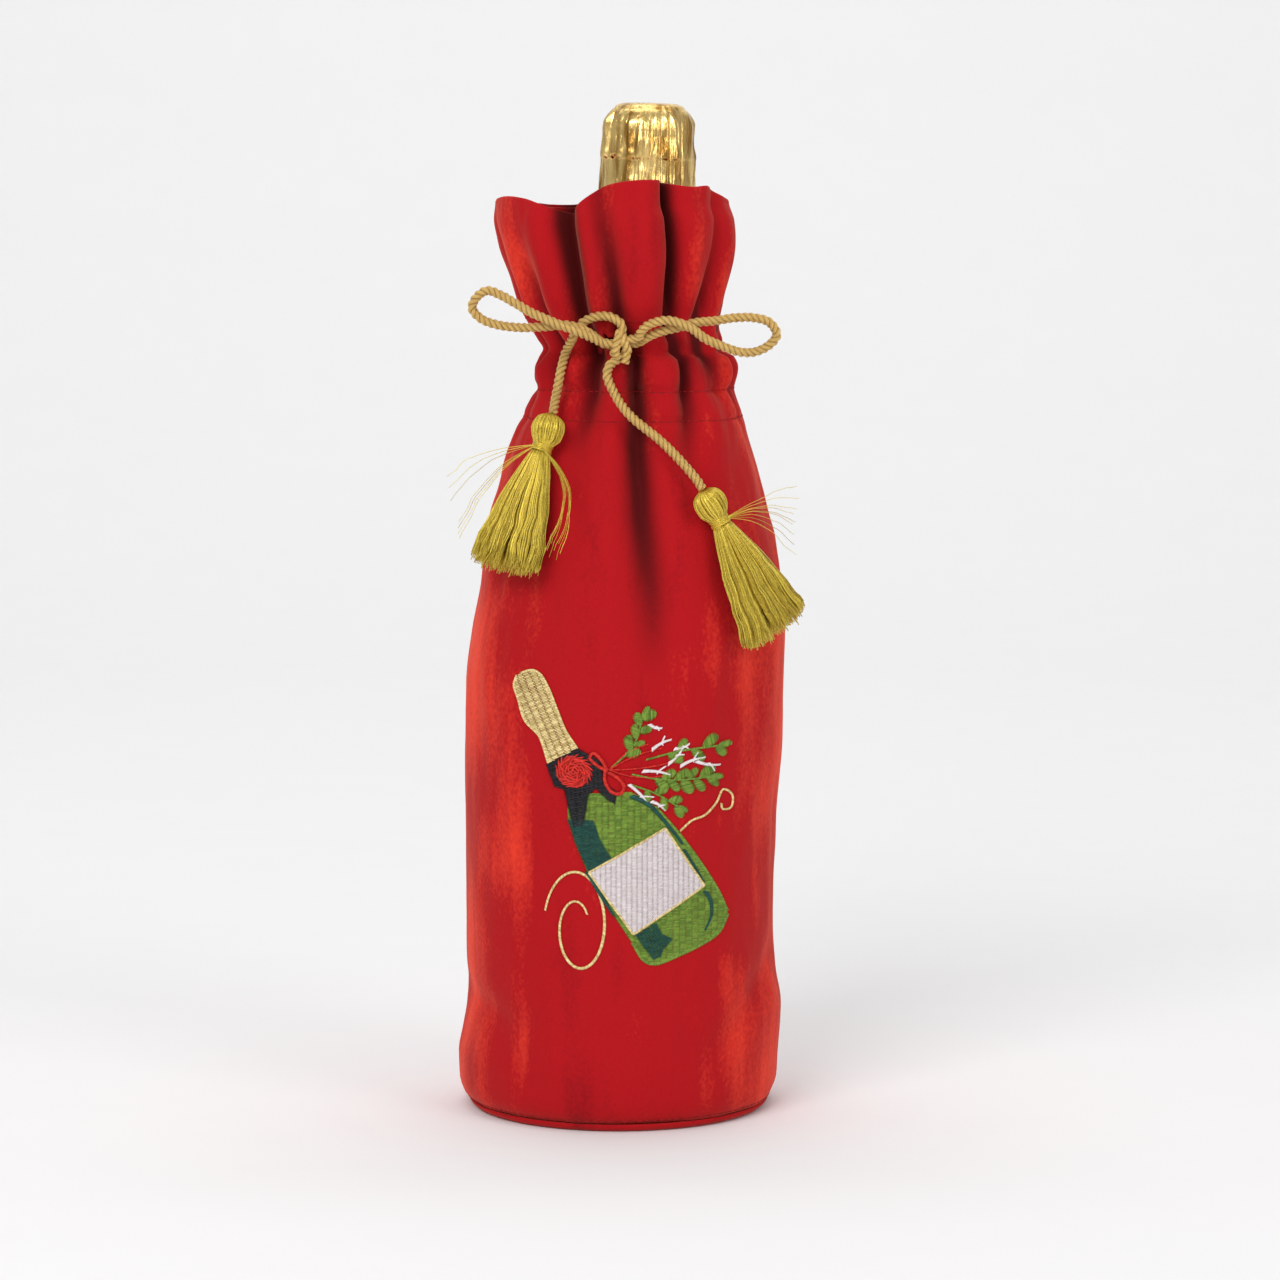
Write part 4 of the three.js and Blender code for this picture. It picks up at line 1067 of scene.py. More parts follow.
@dataclass
class Cloth:
    """The outside of the filled and gathered bag."""

    bottle: Bottle
    body: float = 50 * MM
    shoulder_z: float = 137 * MM
    tie_z: float = 246 * MM
    tie: float = 31 * MM
    collar: float = 39 * MM
    collar_height: float = 44 * MM
    lip_rise: float = 6.5 * MM
    panel: float = 1.2 * MM
    facing: float = 1.0 * MM
    facing_drop: float = 26 * MM
    gap: float = 0.3 * MM
    slack: float = 0.8 * MM
    cord: float = 3 * MM
    fold_depth: float = 8.5 * MM
    bottom: float = 2.7 * MM
    depth_share: float = 0.98
    pleats: tuple[Pleat, ...] = (
        Pleat(-1, -7, 14, 7.0, 0.55, 132 * MM, 0.5, 2.2),
        Pleat(-25, -28, -32, 5.2, 1.35, 60 * MM, 0.3, 1.2),
        Pleat(-52, -56, -52, 6, 0.04, 36 * MM, 0.4),
        Pleat(30, 30, 32, 5, 1.1, 66 * MM, 0.5, 1.2),
        Pleat(50, 62, 54, 6, 0.3, 32 * MM, 0.5),
        Pleat(78, 92, 76, 6, 0.5, 40 * MM),
        Pleat(-77, -84, -78, 6, 0.1, 40 * MM),
        Pleat(104, 108, 104, 7, 0.4, 50 * MM),
        Pleat(-104, -106, -102, 7, 0.8, 40 * MM),
        Pleat(130, 128, 132, 7, 0.9, 60 * MM),
        Pleat(-131, -134, -130, 7, 0.5, 50 * MM),
        Pleat(156, 158, 154, 7, 0.5, 40 * MM),
        Pleat(-157, -154, -158, 7, 0.9, 60 * MM),
        Pleat(180, 182, 178, 7, 0.6, 50 * MM),
    )
    creases: tuple[Crease, ...] = (
        Crease((84, 56 * MM), (34, 24 * MM), 1.9 * MM, 4.2 * MM),
        Crease((-92, 40 * MM), (-40, 33 * MM), 1.8 * MM, 3.6 * MM),
        Crease((-58, 34 * MM), (-26, 12 * MM), 0.9 * MM, 4 * MM),
        Crease((10, 36 * MM), (42, 14 * MM), 0.6 * MM, 4 * MM),
        Crease((19, 8 * MM), (18, 62 * MM), -0.35 * MM, 1.6 * MM),
        Crease((-24, 6 * MM), (-27, 50 * MM), -0.25 * MM, 2 * MM),
        Crease((-62, 192 * MM), (-20, 150 * MM), 1.1 * MM, 6 * MM),
        Crease((58, 205 * MM), (24, 158 * MM), 1.2 * MM, 6 * MM),
        Crease((66, 176 * MM), (40, 128 * MM), 0.7 * MM, 5 * MM),
        Crease((-84, 160 * MM), (-60, 110 * MM), 0.6 * MM, 5 * MM),
        Crease((84, 120 * MM), (62, 84 * MM), 0.5 * MM, 5 * MM),
        Crease((140, 190 * MM), (175, 150 * MM), 1.1 * MM, 6 * MM),
        Crease((-150, 200 * MM), (-120, 150 * MM), 1.1 * MM, 6 * MM),
        Crease((150, 50 * MM), (110, 28 * MM), 0.9 * MM, 5 * MM),
        Crease((-150, 44 * MM), (-115, 28 * MM), 0.8 * MM, 5 * MM),
    )

    def __post_init__(self) -> None:
        """Works out the silhouette's two sides as smooth lines."""
        b, t, c = self.body, self.tie, self.collar
        rise = self.tie_z - self.shoulder_z

        def up(share: float) -> float:
            """A height between the shoulder and the tie."""
            return self.shoulder_z + share * rise

        def narrow(share: float) -> float:
            """A reach between the body's and the tie's."""
            return b + share * (t - b)

        rows = [
            (self.bottom, b - 0.9 * MM, b - 2.9 * MM),
            (5 * MM, b + 1.3 * MM, b - 1.4 * MM),
            (9 * MM, b + 2.3 * MM, b - 0.2 * MM),
            (17 * MM, b + 2.5 * MM, b + 0.2 * MM),
            (25 * MM, b + 1.2 * MM, b + 0.8 * MM),
            (33 * MM, b + 0.1 * MM, b + 1.2 * MM),
            (45 * MM, b + 0.1 * MM, b - 0.4 * MM),
            (66 * MM, b + 0.3 * MM, b - 0.8 * MM),
            (92 * MM, b + 0.2 * MM, b - 0.3 * MM),
            (119 * MM, b - 0.2 * MM, b + 1.5 * MM),
            (self.shoulder_z, b, b + 1.9 * MM),
            (up(0.15), narrow(0.1), b + 2.4 * MM),
            (up(0.29), narrow(0.25), narrow(-0.07)),
            (up(0.43), narrow(0.36), narrow(0.06)),
            (up(0.5), narrow(0.44), narrow(0.17)),
            (up(0.57), narrow(0.56), narrow(0.26)),
            (up(0.71), narrow(0.76), narrow(0.42)),
            (up(0.79), narrow(0.9), narrow(0.47)),
            (up(0.86), narrow(1.03), narrow(0.58)),
            (self.tie_z - 9 * MM, t - 0.8 * MM, t + 7.6 * MM),
            (self.tie_z - 5 * MM, t - 2.6 * MM, t + 6.3 * MM),
            (self.tie_z - 2.6 * MM, t - 4 * MM, t + 2.2 * MM),
            (self.tie_z, t - 2.6 * MM, t + 3 * MM),
            (self.tie_z + 4 * MM, t, t + 2.1 * MM),
            (self.tie_z + 12 * MM, c - 4 * MM, c - 4 * MM),
            (self.tie_z + 22 * MM, c - 1.2 * MM, c - 2.2 * MM),
            (self.tie_z + 31 * MM, c + 1.2 * MM, c - 1.2 * MM),
            (self.tie_z + 38 * MM, c + 2.4 * MM, c - 1.6 * MM),
            (self.tie_z + 44 * MM, c + 1.6 * MM, c - 3.8 * MM),
            (self.tie_z + 52 * MM, c + 1.2 * MM, c - 4.2 * MM),
        ]
        self.left = smooth_line(rows, 1)
        self.right = smooth_line(rows, 2)

    def rim_height(self, degrees: Number) -> np.ndarray:
        """Height of the rim, which stands up at the front and dips beside the folds."""
        off = wrapped(degrees)
        lip = (self.lip_rise + 0.6 * MM) * bell(off - 16, 24) + 1.8 * MM * bell(off + 62, 15)
        notches = 5 * MM * bell(off + 27, 8) + 0.8 * MM * bell(off - 44, 5)
        lobe = 3.2 * MM * bell(off - 55, 12)
        behind = 1.5 * MM * np.sin(np.radians(off * 3)) * (np.abs(off) > 100)
        return self.tie_z + self.collar_height + lip - notches + lobe + behind

    def folds(self, degrees: np.ndarray, z: np.ndarray) -> tuple[np.ndarray, np.ndarray]:
        """How deep the folds lie, and how far each draws the cloth sideways over itself.

        Args:
            degrees: Angles from the front.
            z: Heights.

        Returns:
            Depths in metres and sideways shifts in degrees.
        """
        depth, shift = np.zeros_like(degrees), np.zeros_like(degrees)
        above = np.clip((z - self.tie_z) / self.collar_height, 0, 1.1)
        for pleat in self.pleats:
            below = np.clip((self.tie_z - z) / pleat.reach, 0, 1)
            middle = pleat.tie + (pleat.rim - pleat.tie) * above + (pleat.foot - pleat.tie) * below
            off = wrapped(degrees - middle)
            spread = pleat.width * (1 + 0.7 * below)
            upper = 1 + (pleat.at_rim - 1) * np.minimum(1, above) ** 0.8
            share = np.where(z > self.tie_z, upper, (1 - below**pleat.fade) ** 1.3)
            dip = share * bell(off, spread)
            depth = depth + dip * self.fold_depth
            pull = pleat.pinch * np.clip(share, 0, 1) * bell(off, 1.5 * spread)
            shift = shift - pull * off
        return depth, shift

    def pressed(self, degrees: np.ndarray, z: np.ndarray) -> np.ndarray:
        """How deep the soft creases are."""
        depth = np.zeros_like(degrees)
        for crease in self.creases:
            a = np.array([math.radians(crease.start[0]) * self.body, crease.start[1]])
            b = np.array([math.radians(crease.end[0]) * self.body, crease.end[1]])
            span = b - a
            across = np.radians(wrapped(degrees - crease.start[0])) * self.body
            up = z - crease.start[1]
            share = np.clip((across * span[0] + up * span[1]) / span.dot(span), 0, 1)
            away = np.hypot(across - share * span[0], up - share * span[1])
            depth = depth + crease.depth * bell(away, crease.width) * np.sin(np.pi * (0.12 + 0.76 * share))
        for height, cut in ((self.tie_z - 15 * MM, 1.5 * MM), (self.tie_z - 24 * MM, 0.7 * MM)):
            patchy = 0.55 + 0.45 * np.sin(np.radians(degrees) * 7 + height * 900)
            depth = depth + cut * patchy * bell(z - height, 1.2 * MM)
        puff = (
            bell(z - self.tie_z + 8.5 * MM, 3.6 * MM) * (0.5 + 0.5 * np.cos(np.radians(degrees) * 11 + 1.2))
        )
        return depth - 1.6 * MM * puff

    def ripple(self, degrees: np.ndarray, z: np.ndarray) -> np.ndarray:
        """Small uneven waves, stronger towards the tie."""
        out = np.zeros_like(degrees)
        flat_deg, flat_z, flat_out = degrees.ravel(), z.ravel(), out.ravel()
        for k, (angle, height) in enumerate(zip(flat_deg, flat_z)):
            turn = math.radians(angle)
            x, y = math.sin(turn), -math.cos(turn)
            near = math.exp(-abs(height - self.tie_z) / (55 * MM))
            broad = noise.noise(Vector((x * 2.2, y * 2.2, height / (46 * MM))))
            tight = noise.noise(Vector((x * 7, y * 7, height / (24 * MM) + 5)))
            fine = noise.noise(Vector((x * 15, y * 15, height / (9 * MM) + 11)))
            flat_out[k] = (0.7 * broad + (0.25 + 1.1 * near) * tight + (0.1 + 0.25 * near) * fine) * MM
        return flat_out.reshape(degrees.shape)

    def layers(self, z: np.ndarray) -> np.ndarray:
        """What lies between the bottle and the outside of the panel."""
        casing = self.slack + self.facing + 2 * self.gap + self.cord + self.gap + self.panel
        hem = self.slack + self.panel + self.facing + self.gap
        bare = self.slack + self.panel
        return np.where(
            z > self.tie_z - 12 * MM, casing, np.where(z > self.tie_z - self.facing_drop, hem, bare)
        )

    def surface(self, degrees: np.ndarray, z: np.ndarray, inset: Number) -> np.ndarray:
        """Points on the cloth.

        Args:
            degrees: Angles from the front.
            z: Heights.
            inset: How far inside the outer face.

        Returns:
            An array of points, with the last axis of length 3.
        """
        left, right = self.left(z), self.right(z)
        half, middle = (left + right) / 2, (right - left) / 2
        depth, shift = self.folds(degrees, z)
        dip = depth + self.pressed(degrees, z) - self.ripple(degrees, z)
        turn = np.radians(degrees + shift)
        x = middle + (half - dip) * np.sin(turn)
        y = -(half * self.depth_share - dip) * np.cos(turn)
        axis = self.bottle.axis_x(z)
        away = np.hypot(x - axis, y)
        least = self.bottle.swept_radius(z) + self.layers(z)
        kept = np.maximum(away, least) - inset
        scale = kept / away
        return np.stack([axis + (x - axis) * scale, y * scale, z], axis=-1)

    def columns(self, count: int) -> np.ndarray:
        """Angles round the cloth, a little closer together at the front."""
        even = np.linspace(-180, 180, count, endpoint=False)
        return even - 18 * np.sin(np.radians(even))


class Layer(Enum):
    """Which of the two faces of a cloth wall a point is on."""

    OUTSIDE = 0
    INSIDE = 1


@dataclass
class Bag:
    """The cloth pieces and their sewing."""

    cloth: Cloth
    across: int = 288
    base_reach: float = 46 * MM
    base_edge: float = 2.4 * MM
    slot: tuple[float, float] = (10.4 * MM, 5 * MM)
    knot_x: float = -0.3 * MM

    def rows(self) -> np.ndarray:
        """Heights of the panel's rows below the collar, closest at the tie."""
        c = self.cloth
        low = np.linspace(c.bottom, 40 * MM, 20, endpoint=False)
        body = np.linspace(40 * MM, 168 * MM, 52, endpoint=False)
        drawn = np.linspace(168 * MM, c.tie_z - 28 * MM, 26, endpoint=False)
        casing = np.linspace(c.tie_z - 28 * MM, c.tie_z, 34, endpoint=False)
        return np.concatenate([low, body, drawn, casing])

    def sheet_mesh(
        self,
        name: str,
        degrees: np.ndarray,
        heights: Callable[[np.ndarray], np.ndarray],
        insets: tuple[float, float],
        closed: bool,
        cut: Callable[[np.ndarray, np.ndarray], np.ndarray] | None = None,
        shape: Callable | None = None,
    ) -> Mesh:
        """A wall of cloth between two insets.

        Args:
            name: The mesh's name.
            degrees: The columns.
            heights: The rows at each column, as an array of (rows, columns).
            insets: Inset of the outer and of the inner face.
            closed: Whether the last column joins the first.
            cut: Marks the squares to leave out, from their angles and heights.
            shape: A surface other than the cloth's own.

        Returns:
            The closed mesh, with its top edge rounded over.
        """
        z = heights(degrees)
        angle = np.broadcast_to(degrees, z.shape).copy()
        surface = shape or self.cloth.surface
        thick = insets[1] - insets[0]
        roll = [(0.15, 0.35), (0.5, 0.5), (0.85, 0.35)]
        rolled = [
            surface(angle[-1:], z[-1:], insets[0] + share * thick) + np.array([0, 0, up * thick])
            for share, up in roll
        ]
        faces_of = {
            Layer.OUTSIDE: np.concatenate([surface(angle, z, insets[0]), *rolled]),
            Layer.INSIDE: surface(angle, z, insets[1]),
        }
        up, over = z.shape[0], len(roll)
        columns = z.shape[1]
        outer, inner = (faces_of[k].reshape(-1, 3) for k in Layer)
        start = len(outer)
        points = np.concatenate([outer, inner])
        wide = columns if closed else columns - 1
        keep = np.ones((up - 1, wide), bool)
        if cut is not None:
            middle_z = (z[:-1] + z[1:])[:, :wide] / 2
            keep = ~cut(angle[:-1, :wide], middle_z)
        faces = []

        def at(layer: Layer, row: int, column: int) -> int:
            """The index of a point."""
            return (start if layer is Layer.INSIDE else 0) + row * columns + column % columns

        def square(layer: Layer, row: int, column: int) -> list[int]:
            """The four corners of one square of a face."""
            corners = ((0, 0), (0, 1), (1, 1), (1, 0))
            return [at(layer, row + up_by, column + along) for up_by, along in corners]

        for j in range(up - 1):
            for i in range(wide):
                if not keep[j, i]:
                    continue
                o, n = square(Layer.OUTSIDE, j, i), square(Layer.INSIDE, j, i)
                faces += [o, n[::-1]]
                if j == 0 or not keep[j - 1, i]:
                    faces.append([o[1], o[0], n[0], n[1]])
                if j < up - 2 and not keep[j + 1, i]:
                    faces.append([o[3], o[2], n[2], n[3]])
                if not (closed or i) or (i and not keep[j, i - 1]) or (closed and not keep[j, i - 1]):
                    faces.append([o[0], o[3], n[3], n[0]])
                if (not closed and i == wide - 1) or not keep[j, (i + 1) % wide]:
                    faces.append([o[2], o[1], n[1], n[2]])
        for i in range(wide):
            faces += [square(Layer.OUTSIDE, j, i) for j in range(up - 1, up - 1 + over)]
            last = up - 1 + over
            edge_out = [at(Layer.OUTSIDE, last, i), at(Layer.OUTSIDE, last, i + 1)]
            faces.append([*edge_out, at(Layer.INSIDE, up - 1, i + 1), at(Layer.INSIDE, up - 1, i)])
            if not closed and i in (0, wide - 1):
                edge = 0 if i == 0 else wide
                rim = [at(Layer.OUTSIDE, j, edge) for j in range(up - 1, up + over)]
                rim.append(at(Layer.INSIDE, up - 1, edge))
                faces.append(rim if i == 0 else rim[::-1])
        mesh = new_mesh(name, points, faces)
        # Fold depth, which the velvet reads to paint shade down in its folds.
        depth = self.cloth.folds(angle, z)[0] / self.cloth.fold_depth
        fold = np.concatenate([depth, *[depth[-1:]] * over, depth]).ravel()
        mesh.attributes.new("fold", "FLOAT", "POINT").data.foreach_set("value", fold.astype(np.float32))
        return mesh

    def build(self) -> BVHTree:
        """Makes every cloth piece and its sewing.

        Returns:
            The outside of the panel, for what is sewn onto it.
        """
        c = self.cloth
        degrees = c.columns(self.across)
        rows = self.rows()

        def panel_rows(angles: np.ndarray) -> np.ndarray:
            """The panel's rows, the last of them along the rim."""
            share = np.linspace(0, 1, 46)[:, None]
            rim = c.rim_height(angles) - 0.6 * MM
            return np.concatenate([
                np.broadcast_to(rows[:, None], (len(rows), len(angles))),
                c.tie_z + share * (rim - c.tie_z),
            ])

        def buttonhole(angles: np.ndarray, z: np.ndarray) -> np.ndarray:
            """Marks the opening that the cord's two ends come out of."""
            x = self.cloth.tie * np.sin(np.radians(angles)) + 3 * MM - self.knot_x
            return (
                (np.abs(x) < self.slot[0] / 2) & (np.abs(z - c.tie_z) < self.slot[1] / 2)
                & (np.abs(angles) < 90)
            )

        panel = new_object("velvet_panel", self.sheet_mesh(
            "velvet_panel", degrees, panel_rows, (0.0, c.panel), True, buttonhole))
        self.settle(panel, "velvet", "side_panel")

        inside = c.panel + c.gap
        ring = c.bottle.swept_radius(np.array(c.tie_z)) + c.slack + c.facing + 2 * c.gap + c.cord / 2

        def facing_shape(angles: np.ndarray, z: np.ndarray, inset: float) -> np.ndarray:
            """The facing, which passes behind the cord that runs in the casing."""
            point = c.surface(angles, z, inset)
            axis = c.bottle.axis_x(z)
            away = np.hypot(point[..., 0] - axis, point[..., 1])
            spare = np.maximum(0, np.abs(z - c.tie_z) - 4 * MM)
            room = ring - c.cord / 2 - 2 * c.gap - (inset - inside) + 2.2 * spare
            scale = np.minimum(1, room / away)
            point[..., 0] = axis + (point[..., 0] - axis) * scale
            point[..., 1] *= scale
            return point

        def facing_rows(angles: np.ndarray) -> np.ndarray:
            """Rows from the hem to just under the rim."""
            share = np.linspace(0, 1, 54)[:, None]
            low = c.tie_z - c.facing_drop + 2 * MM
            return low + share * (c.rim_height(angles) - 1.4 * MM - low)

        facing = new_object("velvet_facing", self.sheet_mesh(
            "velvet_facing", c.columns(216), facing_rows, (inside, inside + c.facing), True, None,
            facing_shape))
        self.settle(facing, "lining", "collar_facing")
        self.build_base()
        self.build_allowances()
        outside = BVHTree.FromObject(panel, bpy.context.evaluated_depsgraph_get())
        self.build_sewing(outside)
        return outside

    def build_base(self) -> None:
        """Makes the round base, turned up to its seam."""
        r, edge = self.base_reach, self.base_edge
        profile = [
            (0.0, 0.0), (r * 0.5, 0.0), (r - 0.6 * MM, 0.0), (r + 0.8 * MM, 0.4 * MM),
            (r + 1.7 * MM, 1.2 * MM)
        ]
        profile += [(r + 2.2 * MM, 2 * MM), (r + 2 * MM, edge + 0.1 * MM), (r + 1.1 * MM, edge)]
        profile += [(r, 1.4 * MM), (r * 0.5, 1.4 * MM), (0.0, 1.4 * MM)]
        points, faces = self.lathe(profile, 120)
        base = new_object("velvet_base", new_mesh("velvet_base", points, faces))
        self.settle(base, "seam", "base_panel")

    def lathe(self, profile: Sequence[Place], segments: int) -> tuple[list, list]:
        """Points and faces of a body turned about +Z, open where its profile closes on itself."""
        points, faces, rings = [], [], []
        for r, h in profile:
            count = segments if r > 0 else 1
            rings.append(range(len(points), len(points) + count))
            for k in range(count):
                turn = k / segments * 2 * math.pi
                points.append((r * math.cos(turn) - MM * (r > 0), r * math.sin(turn), h))
        pairs = list(zip(rings, rings[1:]))
        if profile[0][0] > 0:
            pairs.append((rings[-1], rings[0]))
        for low, high in pairs:
            for k in range(segments):
                n = (k + 1) % segments
                if len(low) == 1:
                    faces.append((low[0], high[n], high[k]))
                elif len(high) == 1:
                    faces.append((low[k], low[n], high[0]))
                else:
                    faces.append((low[k], low[n], high[n], high[k]))
        return points, faces

    def build_allowances(self) -> None:
        """Makes the cloth turned in at the base seam and at the back seam."""
        c, low = self.cloth, 1.7 * MM
        r = self.base_reach
        width = 10 * MM
        reach, back = r - 0.6 * MM, r - 0.6 * MM - width
        loop = [(back, low), (r - 5 * MM, low - 0.1 * MM), (reach, low), (reach + 0.2 * MM, low + 0.5 * MM)]
        loop += [(reach, low + MM), (r - 5 * MM, low + 0.9 * MM), (back, low + MM)]
        points, faces = self.lathe(loop, 96)
        ring = new_object("base_allowance", new_mesh("base_allowance", points, faces))
        self.settle(ring, "seam", "base_seam_allowance")

        def rows(angles: np.ndarray) -> np.ndarray:
            """Rows up the back seam."""
            share = np.linspace(0, 1, 60)[:, None]
            return c.bottom + 4 * MM + share * (c.shoulder_z + 8 * MM) + 0 * angles

        inset = c.panel + 2 * c.gap
        strip = new_object("back_allowance", self.sheet_mesh(
            "back_allowance", np.linspace(171, 189, 9), rows, (inset, inset + MM), False))
        self.settle(strip, "seam", "back_seam_allowance")

        def patch_rows(angles: np.ndarray) -> np.ndarray:
            """Rows of the stiffener behind the embroidery."""
            share = np.linspace(0, 1, 30)[:, None]
            return (44 * MM + share * 106 * MM) + 0 * angles

        backing = new_object("sewn_backing", self.sheet_mesh(
            "sewn_backing", np.linspace(-38, 46, 34), patch_rows, (inset, inset + 0.4 * MM), False))
        self.settle(backing, "backing", "embroidery_backing")

    def build_sewing(self, outside: BVHTree) -> None:
        """Sews the rows round the bag and the bars of the buttonhole.

        Args:
            outside: The outside of the panel.
        """
        c = self.cloth
        rows = {
            "casing_stitch_upper": (c.tie_z + 7 * MM, 110),
            "casing_stitch_lower": (c.tie_z - 15 * MM, 110),
            "facing_hem_stitch": (c.tie_z - 24 * MM, 110),
            "base_seam_stitch": (3.6 * MM, 130),
        }
        for node, (height, count) in rows.items():
            turns = np.linspace(-180, 180, count, endpoint=False)
            step = 360 / count
            sewn = StitchSet()
            for turn in turns:
                ends = []
                for edge in (turn - 0.36 * step, turn + 0.36 * step):
                    point = c.surface(np.array([edge]), np.array([height]), -0.04 * MM)[0]
                    ends.append(Vector(point))
                out = Vector((ends[0].x, ends[0].y, 0)).normalized()
                sewn.lay(ends[0], ends[1], out)
            name = node.replace("stitch", "thread")
            mesh = sewn.mesh(name, "red_thread", 0.26 * MM, 0.22 * MM)
            self.settle(new_object(name, mesh), "red_thread", node)
        for side, sign in (("left", -1), ("right", 1)):
            sewn = StitchSet()
            middle = self.knot_x + sign * (self.slot[0] / 2 + MM)
            for share in np.linspace(-1, 1, 15):
                z = c.tie_z + share * (self.slot[1] / 2 + 0.6 * MM)
                ends = []
                for x in (middle - 0.9 * MM, middle + 0.9 * MM):
                    hit = outside.ray_cast(Vector((x, -0.2, z)), Vector((0, 1, 0)))
                    ends.append(hit[0] + Vector((0, -0.12 * MM, 0)))
                sewn.lay(ends[0], ends[1], Vector((0, -1, 0)))
            name = f"buttonhole_thread_{side}"
            mesh = sewn.mesh(name, "red_thread", 0.24 * MM, 0.2 * MM)
            self.settle(new_object(name, mesh), "red_thread", f"buttonhole_stitch_{side}")

    def settle(self, obj: Piece, finish: str, node: str) -> None:
        """Dresses a cloth piece and ties it to the bag."""
        WARDROBE.dress(obj, finish)
        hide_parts(node)
        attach(obj, "bag")
        LOG.info("%s rides on bag", obj.name)


# ---- cord ---------------------------------------------------------------------------------------------


